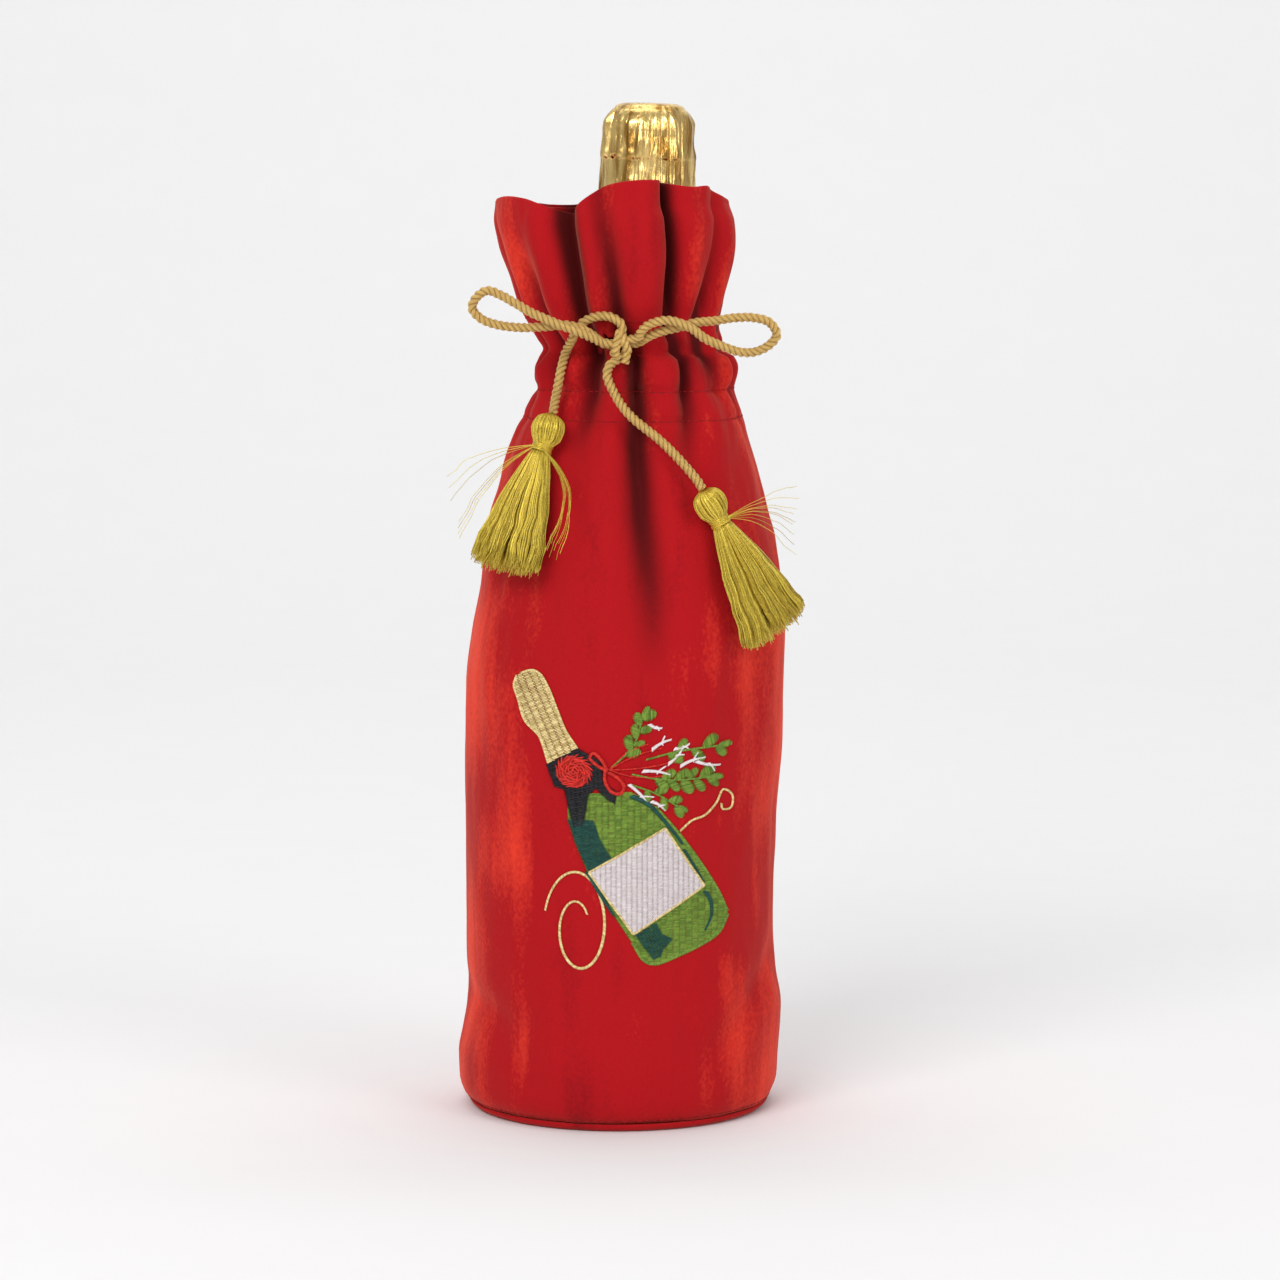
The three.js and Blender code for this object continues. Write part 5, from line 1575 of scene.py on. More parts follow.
@dataclass
class Cord:
    """The drawstring: its knot, loops, tails and the ring inside the casing."""

    cloth: Cloth
    diameter: float = 3 * MM
    pitch: float = 5.6 * MM
    strands: int = 3
    knot: Vector = field(default_factory=lambda: Vector((-0.3 * MM, -32.2 * MM, 246.6 * MM)))
    paths: dict[str, np.ndarray] = field(default_factory=dict)

    def near_knot(self, rows: Sequence[Row]) -> list[Vector]:
        """Places given in millimetres from the knot."""
        return [Vector(row) * MM + self.knot for row in rows]

    def on_cloth(self, rows: Sequence[Row]) -> list[Vector]:
        """Places beside and below the knot, each standing off the unfolded cloth by its third value."""
        places = []
        for x, z, off in rows:
            x, z = self.knot.x + x * MM, self.knot.z + z * MM
            left, right = float(self.cloth.left(z)), float(self.cloth.right(z))
            half, middle = (left + right) / 2, (right - left) / 2
            share = max(-0.98, min(0.98, (x - middle) / half))
            y = -half * self.cloth.depth_share * math.sqrt(1 - share * share)
            places.append(Vector((x, y - off * MM, z)))
        return places

    def twisted(self, name: str, path: np.ndarray, closed: bool = False) -> Mesh:
        """A cord of twisted strands along a path.

        Args:
            name: The mesh's name.
            path: Evenly spaced places, about a quarter of a millimetre apart.
            closed: Whether the last place joins the first.

        Returns:
            The mesh, with a UV map named lay: round the strands, and along the cord.
        """
        count, sides = len(path), 24
        ways = np.gradient(path, axis=0)
        if closed:
            ways = np.roll(path, -1, axis=0) - np.roll(path, 1, axis=0)
        ways /= np.linalg.norm(ways, axis=1)[:, None]
        side = np.cross(ways[0], (0.3, 0.5, 0.81))
        side /= np.linalg.norm(side)
        radius = self.diameter / 2
        strand, offset = radius * 0.53, radius * 0.47
        run = np.concatenate([[0], np.cumsum(np.linalg.norm(np.diff(path, axis=0), axis=1))])
        points = []
        for k in range(count):
            side = side - ways[k] * side.dot(ways[k])
            side /= np.linalg.norm(side)
            up = np.cross(ways[k], side)
            twist = run[k] / self.pitch * 2 * math.pi
            for s in range(sides):
                turn = s / sides * 2 * math.pi
                lobe = (turn - twist) % (2 * math.pi / self.strands) - math.pi / self.strands
                reach = offset * math.cos(lobe) + math.sqrt(
                    max(0.0, strand**2 - (offset * math.sin(lobe)) ** 2)
                )
                points.append(path[k] + reach * (math.cos(turn) * side + math.sin(turn) * up))
        faces, uvs = [], []
        last = count if closed else count - 1
        scale = 1 / self.diameter

        def lay(s: int, along: float) -> Place:
            """The UV of a point: where it is across its strand, and how far along."""
            return ((s / sides - along / self.pitch) * self.strands, along * scale)

        for k in range(last):
            n = (k + 1) % count
            for s in range(sides):
                t = (s + 1) % sides
                faces.append((k * sides + s, k * sides + t, n * sides + t, n * sides + s))
                far = run[n] if n else run[-1] + run[1]
                uvs += [lay(s, run[k]), lay(s + 1, run[k]), lay(s + 1, far), lay(s, far)]
        if not closed:
            points += [path[0] - ways[0] * 0.2 * MM, path[-1] + ways[-1] * 0.2 * MM]
            first, final = len(points) - 2, len(points) - 1
            tail = (count - 1) * sides
            for s in range(sides):
                t = (s + 1) % sides
                faces += [(first, t, s), (final, tail + s, tail + t)]
                uvs += [lay(s, 0.0), lay(s + 1, 0.0), lay(s, 0.0)] * 2
        mesh = new_mesh(name, points, faces)
        layer = mesh.uv_layers.new(name="lay")
        layer.data.foreach_set("uv", np.array(uvs, np.float32).ravel())
        return mesh

    def make(self, name: str, points: Sequence[Vector]) -> Piece:
        """One open stretch of cord through points, whose path is kept by name."""
        path = route_through(points, 0.25 * MM)
        self.paths[name] = path
        return WARDROBE.dress(new_object(name, self.twisted(name, path)), "gold_cord")

    def declare(
        self, obj: Piece
    ) -> None:
        """Works out a stretch's length and route, and keeps neither."""
        path = self.paths[obj.name]
        tuple(path[0])
        length_of(path)
        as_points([tuple(p) for p in path[::4]] + [tuple(path[-1])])

    def build(self, tassels: dict[str, "Tassel"]) -> None:
        """Makes every stretch of the cord and the tassels on its ends.

        Args:
            tassels: The tassels by side, "left" and "right".
        """
        left_loop = self.make("cord_left_loop", self.near_knot([
            (-1.5, -1.2, -0.4), (-5.5, -1.7, 0.2), (-9.2, -3.6, 2), (-13.9, -5.2, 4), (-18.6, -5.6, 5.8),
            (-23.2, -5.4, 7.7), (-27.9, -4.8, 9.8), (-32.7, -4, 12.6), (-37.1, -3.2, 15),
            (-41.2, -2.4, 16.3),
            (-44.7, -1.6, 14), (-45.9, -1, 10.8), (-43.4, -0.7, 7.7), (-38.7, -0.8, 5.8), (-31, -1.2, 4.8),
            (-23.2, -1.6, 5.1), (-17, -1.7, 5.6), (-11.8, -1.6, 4.3), (-7.9, 0.3, 1.8), (-5.5, 1.8, -0.2),
            (-2, 1.6, -0.8),
        ]))
        right_loop = self.make("cord_right_loop", self.near_knot([
            (1.6, -1.2, 0.8), (5.5, -1.8, 1.8), (6.8, -3.4, 4), (9.3, -4.9, 6), (14.9, -5.9, 7.2),
            (21.7, -5.8, 5), (26.3, -5.2, 1.6), (31.6, -4.2, -0.8), (37.2, -3.2, -2.7), (41.9, -2.4, -2.7),
            (46.5, -1.6, -0.5), (48.7, -1, 2.6), (46.5, -0.7, 6.3), (41.8, -0.8, 7.8), (35.6, -1, 7.8),
            (29.4, -1.4, 6.9), (23.2, -2, 6.3), (18.6, -2.2, 5), (12.4, -2.2, 3.5), (8.8, -0.8, 2),
            (5.5, 1.8, 0), (2, 1.6, -0.6),
        ]))
        for obj, body, side, sign in (
            (left_loop, "left_loop", "left", -1), (right_loop, "right_loop", "right", 1)
        ):
            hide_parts(f"{side}_loop_cord")
            self.declare(obj)
            near, far = (self.knot + Vector((sign * x * MM, 0, 0)) for x in (3.5, 8.5))
            tuple(near)
            tuple(far)
            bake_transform(obj)
            LOG.info("%s bends from the bag to %s", obj.name, body)
        arch = self.near_knot([
            (0.4, 0.4, 2.6), (0.6, -0.4, 4.4), (0, -0.8, 6.2), (-3.1, -0.4, 8.1), (-7.1, 0.4, 8.2),
            (-11.5, 1.6, 6.3),
            (-14.2, 2.4, 2.7), (-14.4, 2.35, 2.1),
        ])
        hang = self.on_cloth(
            [(-16.8, -2.8, 3.4), (-18.7, -9.9, 3.2), (-19.9, -16.1, 3.9), (-20.9, -22, 5.7)]
        )
        left_tail = self.make("cord_arch_and_left_tail", [*arch, *hang])
        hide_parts("bow_arch", "left_tail_cord")
        drop = [Vector((-0.6 * MM, -1.2 * MM, -3 * MM)) + self.knot]
        drop.append(Vector((-1.2 * MM, -1.4 * MM, -5.3 * MM)) + self.knot)
        run = self.on_cloth([
            (-3.3, -7, 3), (-4, -9.9, 2.9), (-1.5, -16, 2.9), (3.1, -22.2, 2.9), (12.4, -29.9, 2.9),
            (18.6, -36.1, 3.2), (23.9, -42.3, 4.6), (25.6, -45, 5.5),
        ])
        right_tail = self.make("cord_right_tail", [*drop, *run])
        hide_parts("right_tail_cord")
        tails = (
            (
                left_tail, "left", self.knot + Vector((-14.2, 2.4, 3)) * MM,
                self.knot + Vector((-16.4, 1.5, -2)) * MM
            ),
            (right_tail, "right", drop[0], self.knot + Vector((-2.6, -1.4, -7.5)) * MM),
        )
        for obj, side, near, far in tails:
            pieces = tassels[side].build(self.paths[obj.name][-1], self.cloth)
            self.declare(obj)
            tuple(near)
            tuple(far)
            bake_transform(obj)
            LOG.info("%s bends from the bag to %s_tail", obj.name, side)
        self.build_knot()
        self.build_ring()

    def build_knot(self) -> None:
        """Makes the wraps of the knot and the short end that shows under it."""
        meshes = []
        wraps = ((-0.9, 0.28, 2.5, 3.1, 0.0), (1.3, -0.34, 2.3, 2.8, 0.4))
        for shift, slant, deep, tall, lift in wraps:
            turns = np.linspace(0, 2 * math.pi, 76, endpoint=False)
            loop = np.array([
                (shift + slant * tall * math.sin(t), deep * math.cos(t) - 0.2, tall * math.sin(t) + lift)
                for t in turns
            ]) * MM + np.array(self.knot)
            meshes.append(self.twisted("wrap", loop, True))
        end = self.near_knot([(1.6, -0.4, -2.2), (1.9, -1, -4), (1.6, -1.2, -5.4), (1.4, -1.1, -6.2)])
        meshes.append(self.twisted("short_end", route_through(end, 0.25 * MM)))
        knot = WARDROBE.dress(new_object("cord_knot", joined("cord_knot", meshes)), "gold_cord")
        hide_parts("bow_knot")
        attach(knot, "bag")
        LOG.info("cord_knot rides on bag")

    def build_ring(self) -> None:
        """Makes the cord that runs round the neck inside the casing."""
        c = self.cloth
        ring = float(c.bottle.swept_radius(np.array(c.tie_z))) + c.slack + c.facing + 2 * c.gap + c.cord / 2
        middle = float(c.bottle.axis_x(c.tie_z))
        facing = math.degrees(math.asin((self.knot.x - middle) / ring))
        parting, turns = 15, 16
        points = []
        for k in range(turns + 1):
            turn = math.radians(facing + parting + k / turns * (360 - 2 * parting))
            points.append(Vector((middle + ring * math.sin(turn), -ring * math.cos(turn), c.tie_z)))
        behind = self.knot.y + 3.8 * MM
        for x in (2.2 * MM, -2.2 * MM):
            ends = [
                Vector((self.knot.x + x, behind, c.tie_z)),
                Vector((self.knot.x + 1.1 * x, behind + 2 * MM, c.tie_z))
            ]
            points = [*ends, *points] if x > 0 else [*points, *reversed(ends)]
        obj = self.make("cord_in_casing", points)
        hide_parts("neck_cord")
        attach(obj, "bag")
        LOG.info("cord_in_casing rides on bag")


@dataclass
class Tassel:
    """A tassel: a wound head, a binding and a skirt of loose threads."""

    side: str
    down: Vector
    outward: Vector
    offset: Vector
    splay: float
    strays: tuple[tuple[float, float, float, float], ...]
    threads: int = 1150
    filling: int = 380
    deep: float = 6.2 * MM
    length: float = 50 * MM

    def frame(self) -> tuple[Vector, Vector, Vector]:
        """The ways down, across and out of the tassel, square to each other."""
        down = self.down.normalized()
        across = down.cross(self.outward).normalized()
        return down, across, across.cross(down).normalized()

    def build(self, end: np.ndarray, cloth: Cloth) -> list[Piece]:
        """Makes the tassel under the end of its cord.

        Args:
            end: The end of the cord.
            cloth: The bag that the tassel lies on.

        Returns:
            The head, the binding and the skirt.
        """
        top = Vector(end) + self.offset
        pieces = [self.build_head(top), self.build_binding(top), self.build_skirt(top, cloth)]
        for obj, part in zip(pieces, ("head", "binding", "skirt")):
            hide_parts(f"{self.side}_tassel_{part}")
            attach(obj, f"{self.side}_tassel")
            LOG.info("%s rides on %s_tassel", obj.name, self.side)
        return pieces

    def point(self, top: Vector, distance: float, wide: float, out: float) -> Vector:
        """A place in the tassel's own ways: down, across and out."""
        down, across, depth = self.frame()
        return top + down * distance + across * wide + depth * out

    def build_head(self, top: Vector) -> Piece:
        """Makes the head of threads folded down over a core."""
        girth = smooth_line(
            [(0.0, 1.3), (0.6, 2.8), (1.8, 4.1), (4.4, 4.7), (7.2, 4.3), (9.2, 3.2), (10.4, 2.8)], 1
        )
        strands = StrandSet()
        rng = random.Random(11)
        for k in range(150):
            turn = k / 150 * 2 * math.pi
            sway, lift = rng.uniform(-0.12, 0.12), rng.uniform(-0.05, 0.4)
            line = []
            for share in np.linspace(0, 1, 14):
                distance = 0.2 + 10.2 * share
                reach = (float(girth(distance)) + lift * math.sin(math.pi * share)) * MM
                here = turn + sway * math.sin(3 * share) + 0.25 * share
                line.append(self.point(top, distance * MM, reach * math.cos(here), reach * math.sin(here)))
            strands.lay(np.array([tuple(p) for p in line]))
        skin = strands.mesh(
            "head_threads", "tassel_thread", 0.19 * MM, 21, Sides=4, Wave=0.9 * MM, Wave_size=3 * MM
        )
        core = self.flared(
            "head_core", top,
            [(d, float(girth(d)) - 0.15, float(girth(d)) - 0.15) for d in np.linspace(0.3, 10.4, 12)]
        )
        name = f"{self.side}_tassel_wound_head"
        return WARDROBE.dress(new_object(name, joined(name, [skin, core])), "tassel_thread")

    def flared(self, name: str, top: Vector, rows: Sequence[Row]) -> Mesh:
        """A closed core through oval rows of (distance, half width, half depth) in millimetres, tinted dark
        as painted shade inside the tassel.
        """
        sides, points, faces = 28, [], []
        for distance, wide, deep in rows:
            for s in range(sides):
                turn = s / sides * 2 * math.pi
                points.append(
                    self.point(top, distance * MM, wide * MM * math.cos(turn), deep * MM * math.sin(turn))
                )
        last = (len(rows) - 1) * sides
        for row in range(0, last, sides):
            for s in range(sides):
                n = (s + 1) % sides
                faces.append((row + s, row + sides + s, row + sides + n, row + n))
        points += [self.point(top, rows[0][0] * MM, 0, 0), self.point(top, rows[-1][0] * MM, 0, 0)]
        for s in range(sides):
            n = (s + 1) % sides
            faces += [(len(points) - 2, s, n), (len(points) - 1, last + n, last + s)]
        mesh = new_mesh(name, points, faces)
        # Darker than the threads: painted shade inside the head and the bundle.
        set_tint(mesh, [0.15] * len(points))
        return mesh

    def build_binding(self, top: Vector) -> Piece:
        """Makes the thread wound round the neck of the tassel."""
        line = []
        for k in range(100):
            turn = k / 24 * 2 * math.pi
            reach = (2.95 + 0.12 * math.sin(turn * 0.37)) * MM
            line.append(
                self.point(
                    top, (9.9 + 0.55 * turn / (2 * math.pi)) * MM, reach * math.cos(turn),
                    reach * math.sin(turn)
                )
            )
        strands = StrandSet()
        strands.lay(np.array([tuple(p) for p in line]))
        name = f"{self.side}_tassel_wound_binding"
        mesh = strands.mesh(name, "tassel_thread", 0.34 * MM, 8, Sides=8)
        return WARDROBE.dress(new_object(name, mesh), "tassel_thread")

    def build_skirt(self, top: Vector, cloth: Cloth) -> Piece:
        """Makes the loose threads, most in a flared bundle and a few astray."""
        rng = random.Random(31 if self.side == "left" else 47)
        strands = StrandSet()
        root, spread = 11.2 * MM, self.splay
        locks = [rng.uniform(0, 2 * math.pi) for _ in range(54)]
        for k in range(self.threads + self.filling):
            turn = rng.uniform(0, 2 * math.pi)
            ring = math.sqrt(rng.uniform(0.42, 1.0) if k < self.threads else rng.uniform(0.02, 0.42))
            lock = min(locks, key=lambda a: abs(math.remainder(a - turn, 2 * math.pi)))
            drift = 0.22 * math.remainder(lock - turn, 2 * math.pi)
            long = self.length + rng.gauss(0, 0.9) * MM - 2.5 * MM * ring**3
            line = []
            for share in np.linspace(0, 1, 15):
                here = turn + drift * share
                flare = share**0.86
                wide = (2.5 * MM + (spread - 2.5 * MM) * flare) * ring * math.cos(here)
                deep = (2.4 * MM + (self.deep - 2.4 * MM) * flare) * ring * math.sin(here)
                bow = 0.7 * MM * math.sin(math.pi * share) * ring
                place = self.point(
                    top, root + share * (long - root), wide + bow * math.cos(here),
                    deep + bow * math.sin(here)
                )
                line.append(self.off_cloth(place, cloth))
            strands.lay(np.array(line), 0.85, rng.uniform(0.75, 1.15))
        for across, down, out, bend in self.strays:
            line = self.stray(top, across * MM, down * MM, out * MM, bend * MM, cloth)
            strands.lay(line, 0.7, 0.72)
        skin = strands.mesh(
            "skirt_threads", "tassel_thread", 0.17 * MM, 31, Sides=3, Wave=3.4 * MM, Wave_size=6.5 * MM
        )
        rows = []
        for share in np.linspace(0, 1, 12):
            flare = share**0.86
            long = self.length - 9 * MM
            wide = 2.3 * MM + (spread * 0.8 - 2.3 * MM) * flare
            deep = 2.2 * MM + (self.deep * 0.72 - 2.2 * MM) * flare
            rows.append(((root + share * (long - root)) / MM, wide / MM, deep / MM))
        core = self.flared("skirt_core", top, rows)
        name = f"{self.side}_tassel_skirt_threads"
        return WARDROBE.dress(new_object(name, joined(name, [skin, core])), "tassel_thread")

    def stray(
        self, top: Vector, across: float, down: float, out: float, bend: float, cloth: Cloth
    ) -> np.ndarray:
        """One thread that leaves the bundle, to an end place to the right of, below and out from it."""
        line = []
        for share in np.linspace(0, 1, 18):
            sway = bend * math.sin(math.pi * share) * (1 - 0.4 * share)
            ease = share**1.15
            place = self.point(
                top, 10.6 * MM + ease * (down - 10.6 * MM), -across * share - sway, 2.6 * MM + out * share
            )
            line.append(self.off_cloth(place, cloth))
        return np.array(line)

    def off_cloth(self, place: Vector, cloth: Cloth) -> tuple[float, float, float]:
        """The same place, moved out where it would be inside the unfolded bag."""
        left, right = float(cloth.left(place.z)), float(cloth.right(place.z))
        half, middle = (left + right) / 2 + 0.6 * MM, (right - left) / 2
        x, y = place.x - middle, place.y
        size = math.hypot(x / half, y / (half * cloth.depth_share))
        if 0 < size < 1:
            y = -half * cloth.depth_share * math.sqrt(max(0.0, 1 - (x / half) ** 2))
        return (x + middle, y, place.z)


# ---- embroidery ------------------------------------------------------------------------------------------


@dataclass
class Motif:
    """The sewn bottle with its ribbon and sprigs, and two plain gold scrolls."""

    outside: BVHTree
    foot: Place = (19.8 * MM, 61.8 * MM)
    tilt: float = math.radians(29.9)

    def at(self, across: float, up: float) -> Place:
        """A place in the tilted bottle, in millimetres across and up its axis, seen from the front."""
        cos, sin = math.cos(self.tilt), math.sin(self.tilt)
        return (
            self.foot[0] + (across * cos - up * sin) * MM,
            self.foot[1] + (across * sin + up * cos) * MM,
        )

    def on_cloth(self, place: Place, lift: float) -> tuple[Vector, Vector]:
        """The point of the cloth behind a place seen from the front, and the way it faces."""
        hit, out, _, _ = self.outside.ray_cast(Vector((place[0], -0.2, place[1])), Vector((0, 1, 0)))
        if out.y > 0:
            out = -out
        return hit + out * lift, out

    def sew(self, sewn: StitchSet, start: Place, end: Place, lift: float) -> None:
        """Adds one stitch between two places seen from the front."""
        a, out_a = self.on_cloth(start, lift)
        b, out_b = self.on_cloth(end, lift)
        sewn.lay(a, b, (out_a + out_b).normalized())

    def fill(
        self, sewn: StitchSet, outline: Sequence[Place], pitch: float, step: float, lift: float,
        slant: float = 0.0, brick: float = 0.0, under: bool = False,
    ) -> None:
        """Fills an outline with rows of stitches.

        Args:
            sewn: Where the stitches go.
            outline: Its corners, seen from the front.
            pitch: Distance between rows.
            step: Length of a stitch, or 0 for stitches that cross the whole outline.
            lift: How far the thread's middle is off the cloth.
            slant: Angle of the rows from level, in radians.
            brick: Shift of every second row, as a share of the step.
            under: Whether slanted underlay stitches hide the cloth below.
        """
        if under:
            self.fill(sewn, outline, 0.55 * MM, 4 * MM, 0.6 * lift, slant + 0.9, 0.5)
        cos, sin = math.cos(slant), math.sin(slant)
        pts = [(x * cos + z * sin, -x * sin + z * cos) for x, z in outline]
        low, high = min(p[1] for p in pts), max(p[1] for p in pts)
        level, row = low + pitch / 2, 0
        while level < high:
            cuts = []
            for (x0, z0), (x1, z1) in zip(pts, [*pts[1:], pts[0]]):
                if (z0 <= level) != (z1 <= level):
                    cuts.append(x0 + (level - z0) / (z1 - z0) * (x1 - x0))
            cuts.sort()
            for start, end in zip(cuts[::2], cuts[1::2]):
                marks = [start, end]
                if step:
                    first = (math.floor(start / step) + 1 + brick * (row % 2)) * step
                    marks[1:1] = [
                        m for m in np.arange(first, end, step)
                        if m - start > 0.3 * step and end - m > 0.3 * step
                    ]
                for a, b in zip(marks, marks[1:]):
                    ends = [(x * cos - level * sin, x * sin + level * cos) for x in (a, b)]
                    self.sew(sewn, ends[0], ends[1], lift)
            level += pitch
            row += 1

    def satin(
        self, sewn: StitchSet, places: Sequence[Place], width: Callable[[float], float], lift: float
    ) -> None:
        """Covers a line with short slanted stitches.

        Args:
            sewn: Where the stitches go.
            places: The line, seen from the front.
            width: Its width at a share of its length.
            lift: How far the thread's middle is off the cloth.
        """
        path = route_through([Vector((x, 0, z)) for x, z in places], 0.34 * MM)
        for k in range(len(path) - 1):
            way = path[k + 1] - path[k]
            way /= np.linalg.norm(way)
            aside = np.array([-way[2], 0, way[0]]) * 0.8 + way * 0.6
            half = aside * width(k / len(path)) / 2
            a, b = path[k] - half, path[k] + half
            self.sew(sewn, (a[0], a[2]), (b[0], b[2]), lift)

    def finish(
        self, sewn: StitchSet, name: str, finish: str, node: str, wide: float = 0.22, seed: int = 3
    ) -> None:
        """Grows a piece's stitches and ties it to the bag."""
        mesh = sewn.mesh(name, finish, wide * MM, 0.24 * MM, seed)
        obj = WARDROBE.dress(new_object(name, mesh), finish)
        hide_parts(node)
        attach(obj, "bag")
        LOG.info("%s rides on bag with %d stitches", name, len(sewn.centres))

    def build(self) -> None:
        """Sews every part of the motif."""
        self.build_body()
        self.build_label()
        self.build_bow()
        self.build_sprigs()
        self.build_scrolls()

    def shape(self, rows: Sequence[Place]) -> list[Place]:
        """An outline given in the tilted bottle's own places."""
        return [self.at(u, v) for u, v in rows]

    def build_body(self) -> None:
        """Sews the bottle, its shades, the dark collar and the gold neck."""
        body = self.shape([
            (-14.4, -0.6), (-11.8, -2.9), (-6, -4.2), (-1, -5.1), (4, -5.8), (8.6, -5.6), (13.2, -3.4),
            (15.4, -0.4),
            (16, 6), (16, 16), (15, 28), (13.6, 38), (11.4, 44.5), (8.4, 48.6), (4, 50.5), (-4, 55),
            (-11, 54), (-13, 50.3), (-14.7, 42.5), (-15.8, 33), (-15.6, 20), (-14.9, 8),
        ])
        sewn = StitchSet()
        self.fill(sewn, body, 0.42 * MM, 2.0 * MM, 0.16 * MM, 0.0, 0.12, True)
        self.satin(
            sewn, [*self.shape([(12.8, 40.5), (14.6, 30), (15.7, 18), (15.8, 6), (15, -1)])],
            lambda s: 1.1 * MM, 0.18 * MM
        )
        self.satin(
            sewn,
            [
                *self.shape(
                    [(14.6, -2), (9.4, -5.2), (2, -5.2), (-6, -4), (-12, -2.6), (-14.4, 0), (-14.8, 7)]
                )
            ],
            lambda s: 1.1 * MM, 0.18 * MM
        )
        self.finish(sewn, "sewn_bottle", "green_thread", "motif_bottle", 0.225, 4)
        shoulder = StitchSet()
        self.fill(shoulder, self.shape([
            (-13, 50.3), (-6, 46.5), (-7.2, 40), (-7.1, 33), (-15.6, 33), (-14.6, 42.5)]), 0.4 * MM,
            2.4 * MM, 0.42 * MM, 0.0, 0.5, True)
        self.satin(
            shoulder, self.shape([(-15.6, 33), (-15.8, 26), (-15.4, 17)]), lambda s: (2.2 - 1.4 * s) * MM,
            0.42 * MM
        )
        self.finish(shoulder, "sewn_shade_shoulder", "dark_thread", "motif_shade_shoulder", 0.22, 5)
        foot = StitchSet()
        self.fill(foot, self.shape([(-12.9, 8.8), (-5.2, 8.6), (-5.6, 4.6), (-3.4, 1.4), (-7.6, 0.2),
            (-9.3, -1.4), (-12, -1)]),
                  0.42 * MM, 2.0 * MM, 0.42 * MM, 0.35, 0.5)
        self.finish(foot, "sewn_shade_foot", "dark_thread", "motif_shade_foot", 0.22, 6)
        side = StitchSet()
        self.satin(
            side, self.shape([(8.2, 47.2), (11.2, 42.6), (12.7, 36), (13.7, 29), (14, 25.6)]),
            lambda s: (1.9 - s) * MM, 0.42 * MM
        )
        self.satin(side, self.shape([(13.5, 24), (13.6, 18), (13.3, 11.5)]), lambda s: 0.9 * MM, 0.42 * MM)
        self.satin(
            side, self.shape([(12.4, 8.6), (12.1, 5), (10.6, 1.6), (7.8, -0.9), (5.9, -2)]),
            lambda s: (1.7 - s) * MM, 0.42 * MM
        )
        self.finish(side, "sewn_shade_side", "dark_thread", "motif_shade_side", 0.22, 7)
        band = StitchSet()
        self.fill(band, self.shape([
            (1, 68.4), (5.2, 61.5), (2.8, 55), (4.8, 50.6), (2.4, 47.6), (0.9, 50.2), (-0.3, 54.8),
            (-3.4, 54),
            (-9.3, 46.4), (-12.8, 47.6), (-9.2, 59), (-11.4, 61.4), (-10.2, 68.4)]), 0.4 * MM, 2.8 * MM,
            0.46 * MM, 0.0, 0.5, True)
        self.finish(band, "sewn_collar_band", "black_thread", "motif_collar_band", 0.22, 8)
        neck = StitchSet()
        self.fill(neck, self.shape([
            (-9.7, 68.5), (-8, 77), (-9.6, 83.2), (-8.4, 89), (-7.6, 93.5), (-5.8, 96), (-2.6, 97),
            (0.9, 96.2),
            (2.6, 93.6), (2.6, 88.6), (1.8, 83), (0.7, 75), (1.1, 68.3)]), 0.46 * MM, 2.2 * MM, 0.3 * MM,
            self.tilt - 0.1, 0.16)
        self.satin(
            neck, self.shape([(-9.4, 68.6), (-7.8, 77), (-9.4, 83.2), (-8, 90), (-7, 94.4), (-4.6, 96.6)]),
            lambda s: 0.8 * MM, 0.36 * MM
        )
        self.satin(
            neck,
            self.shape(
                [(0.9, 68.6), (0.5, 75), (1.6, 83), (2.4, 89), (2.2, 93.6), (0.6, 95.8), (-3, 96.6)]
            ),
            lambda s: 0.8 * MM, 0.36 * MM
        )
        self.finish(neck, "sewn_neck_foil", "gold_thread", "motif_neck_foil", 0.26, 9)

    def build_label(self) -> None:
        """Sews the blank label and its gold edge."""
        corners = [(-15.4, 32.8), (11.9, 33.2), (12.9, 10.6), (-13.2, 9.2)]
        sewn = StitchSet()
        self.fill(sewn, self.shape(corners), 0.4 * MM, 1.6 * MM, 0.56 * MM, 0.0, 0.12, True)
        self.finish(sewn, "sewn_label", "white_thread", "motif_label", 0.2, 10)
        edge = StitchSet()
        for (u0, v0), (u1, v1) in zip(corners, [*corners[1:], corners[0]]):
            line = [(u0 + (u1 - u0) * s, v0 + (v1 - v0) * s) for s in np.linspace(0, 1, 5)]
            self.satin(edge, self.shape(line), lambda s: 0.85 * MM, 0.72 * MM)
        self.finish(edge, "sewn_label_edge", "gold_thread", "motif_label_border", 0.2, 11)

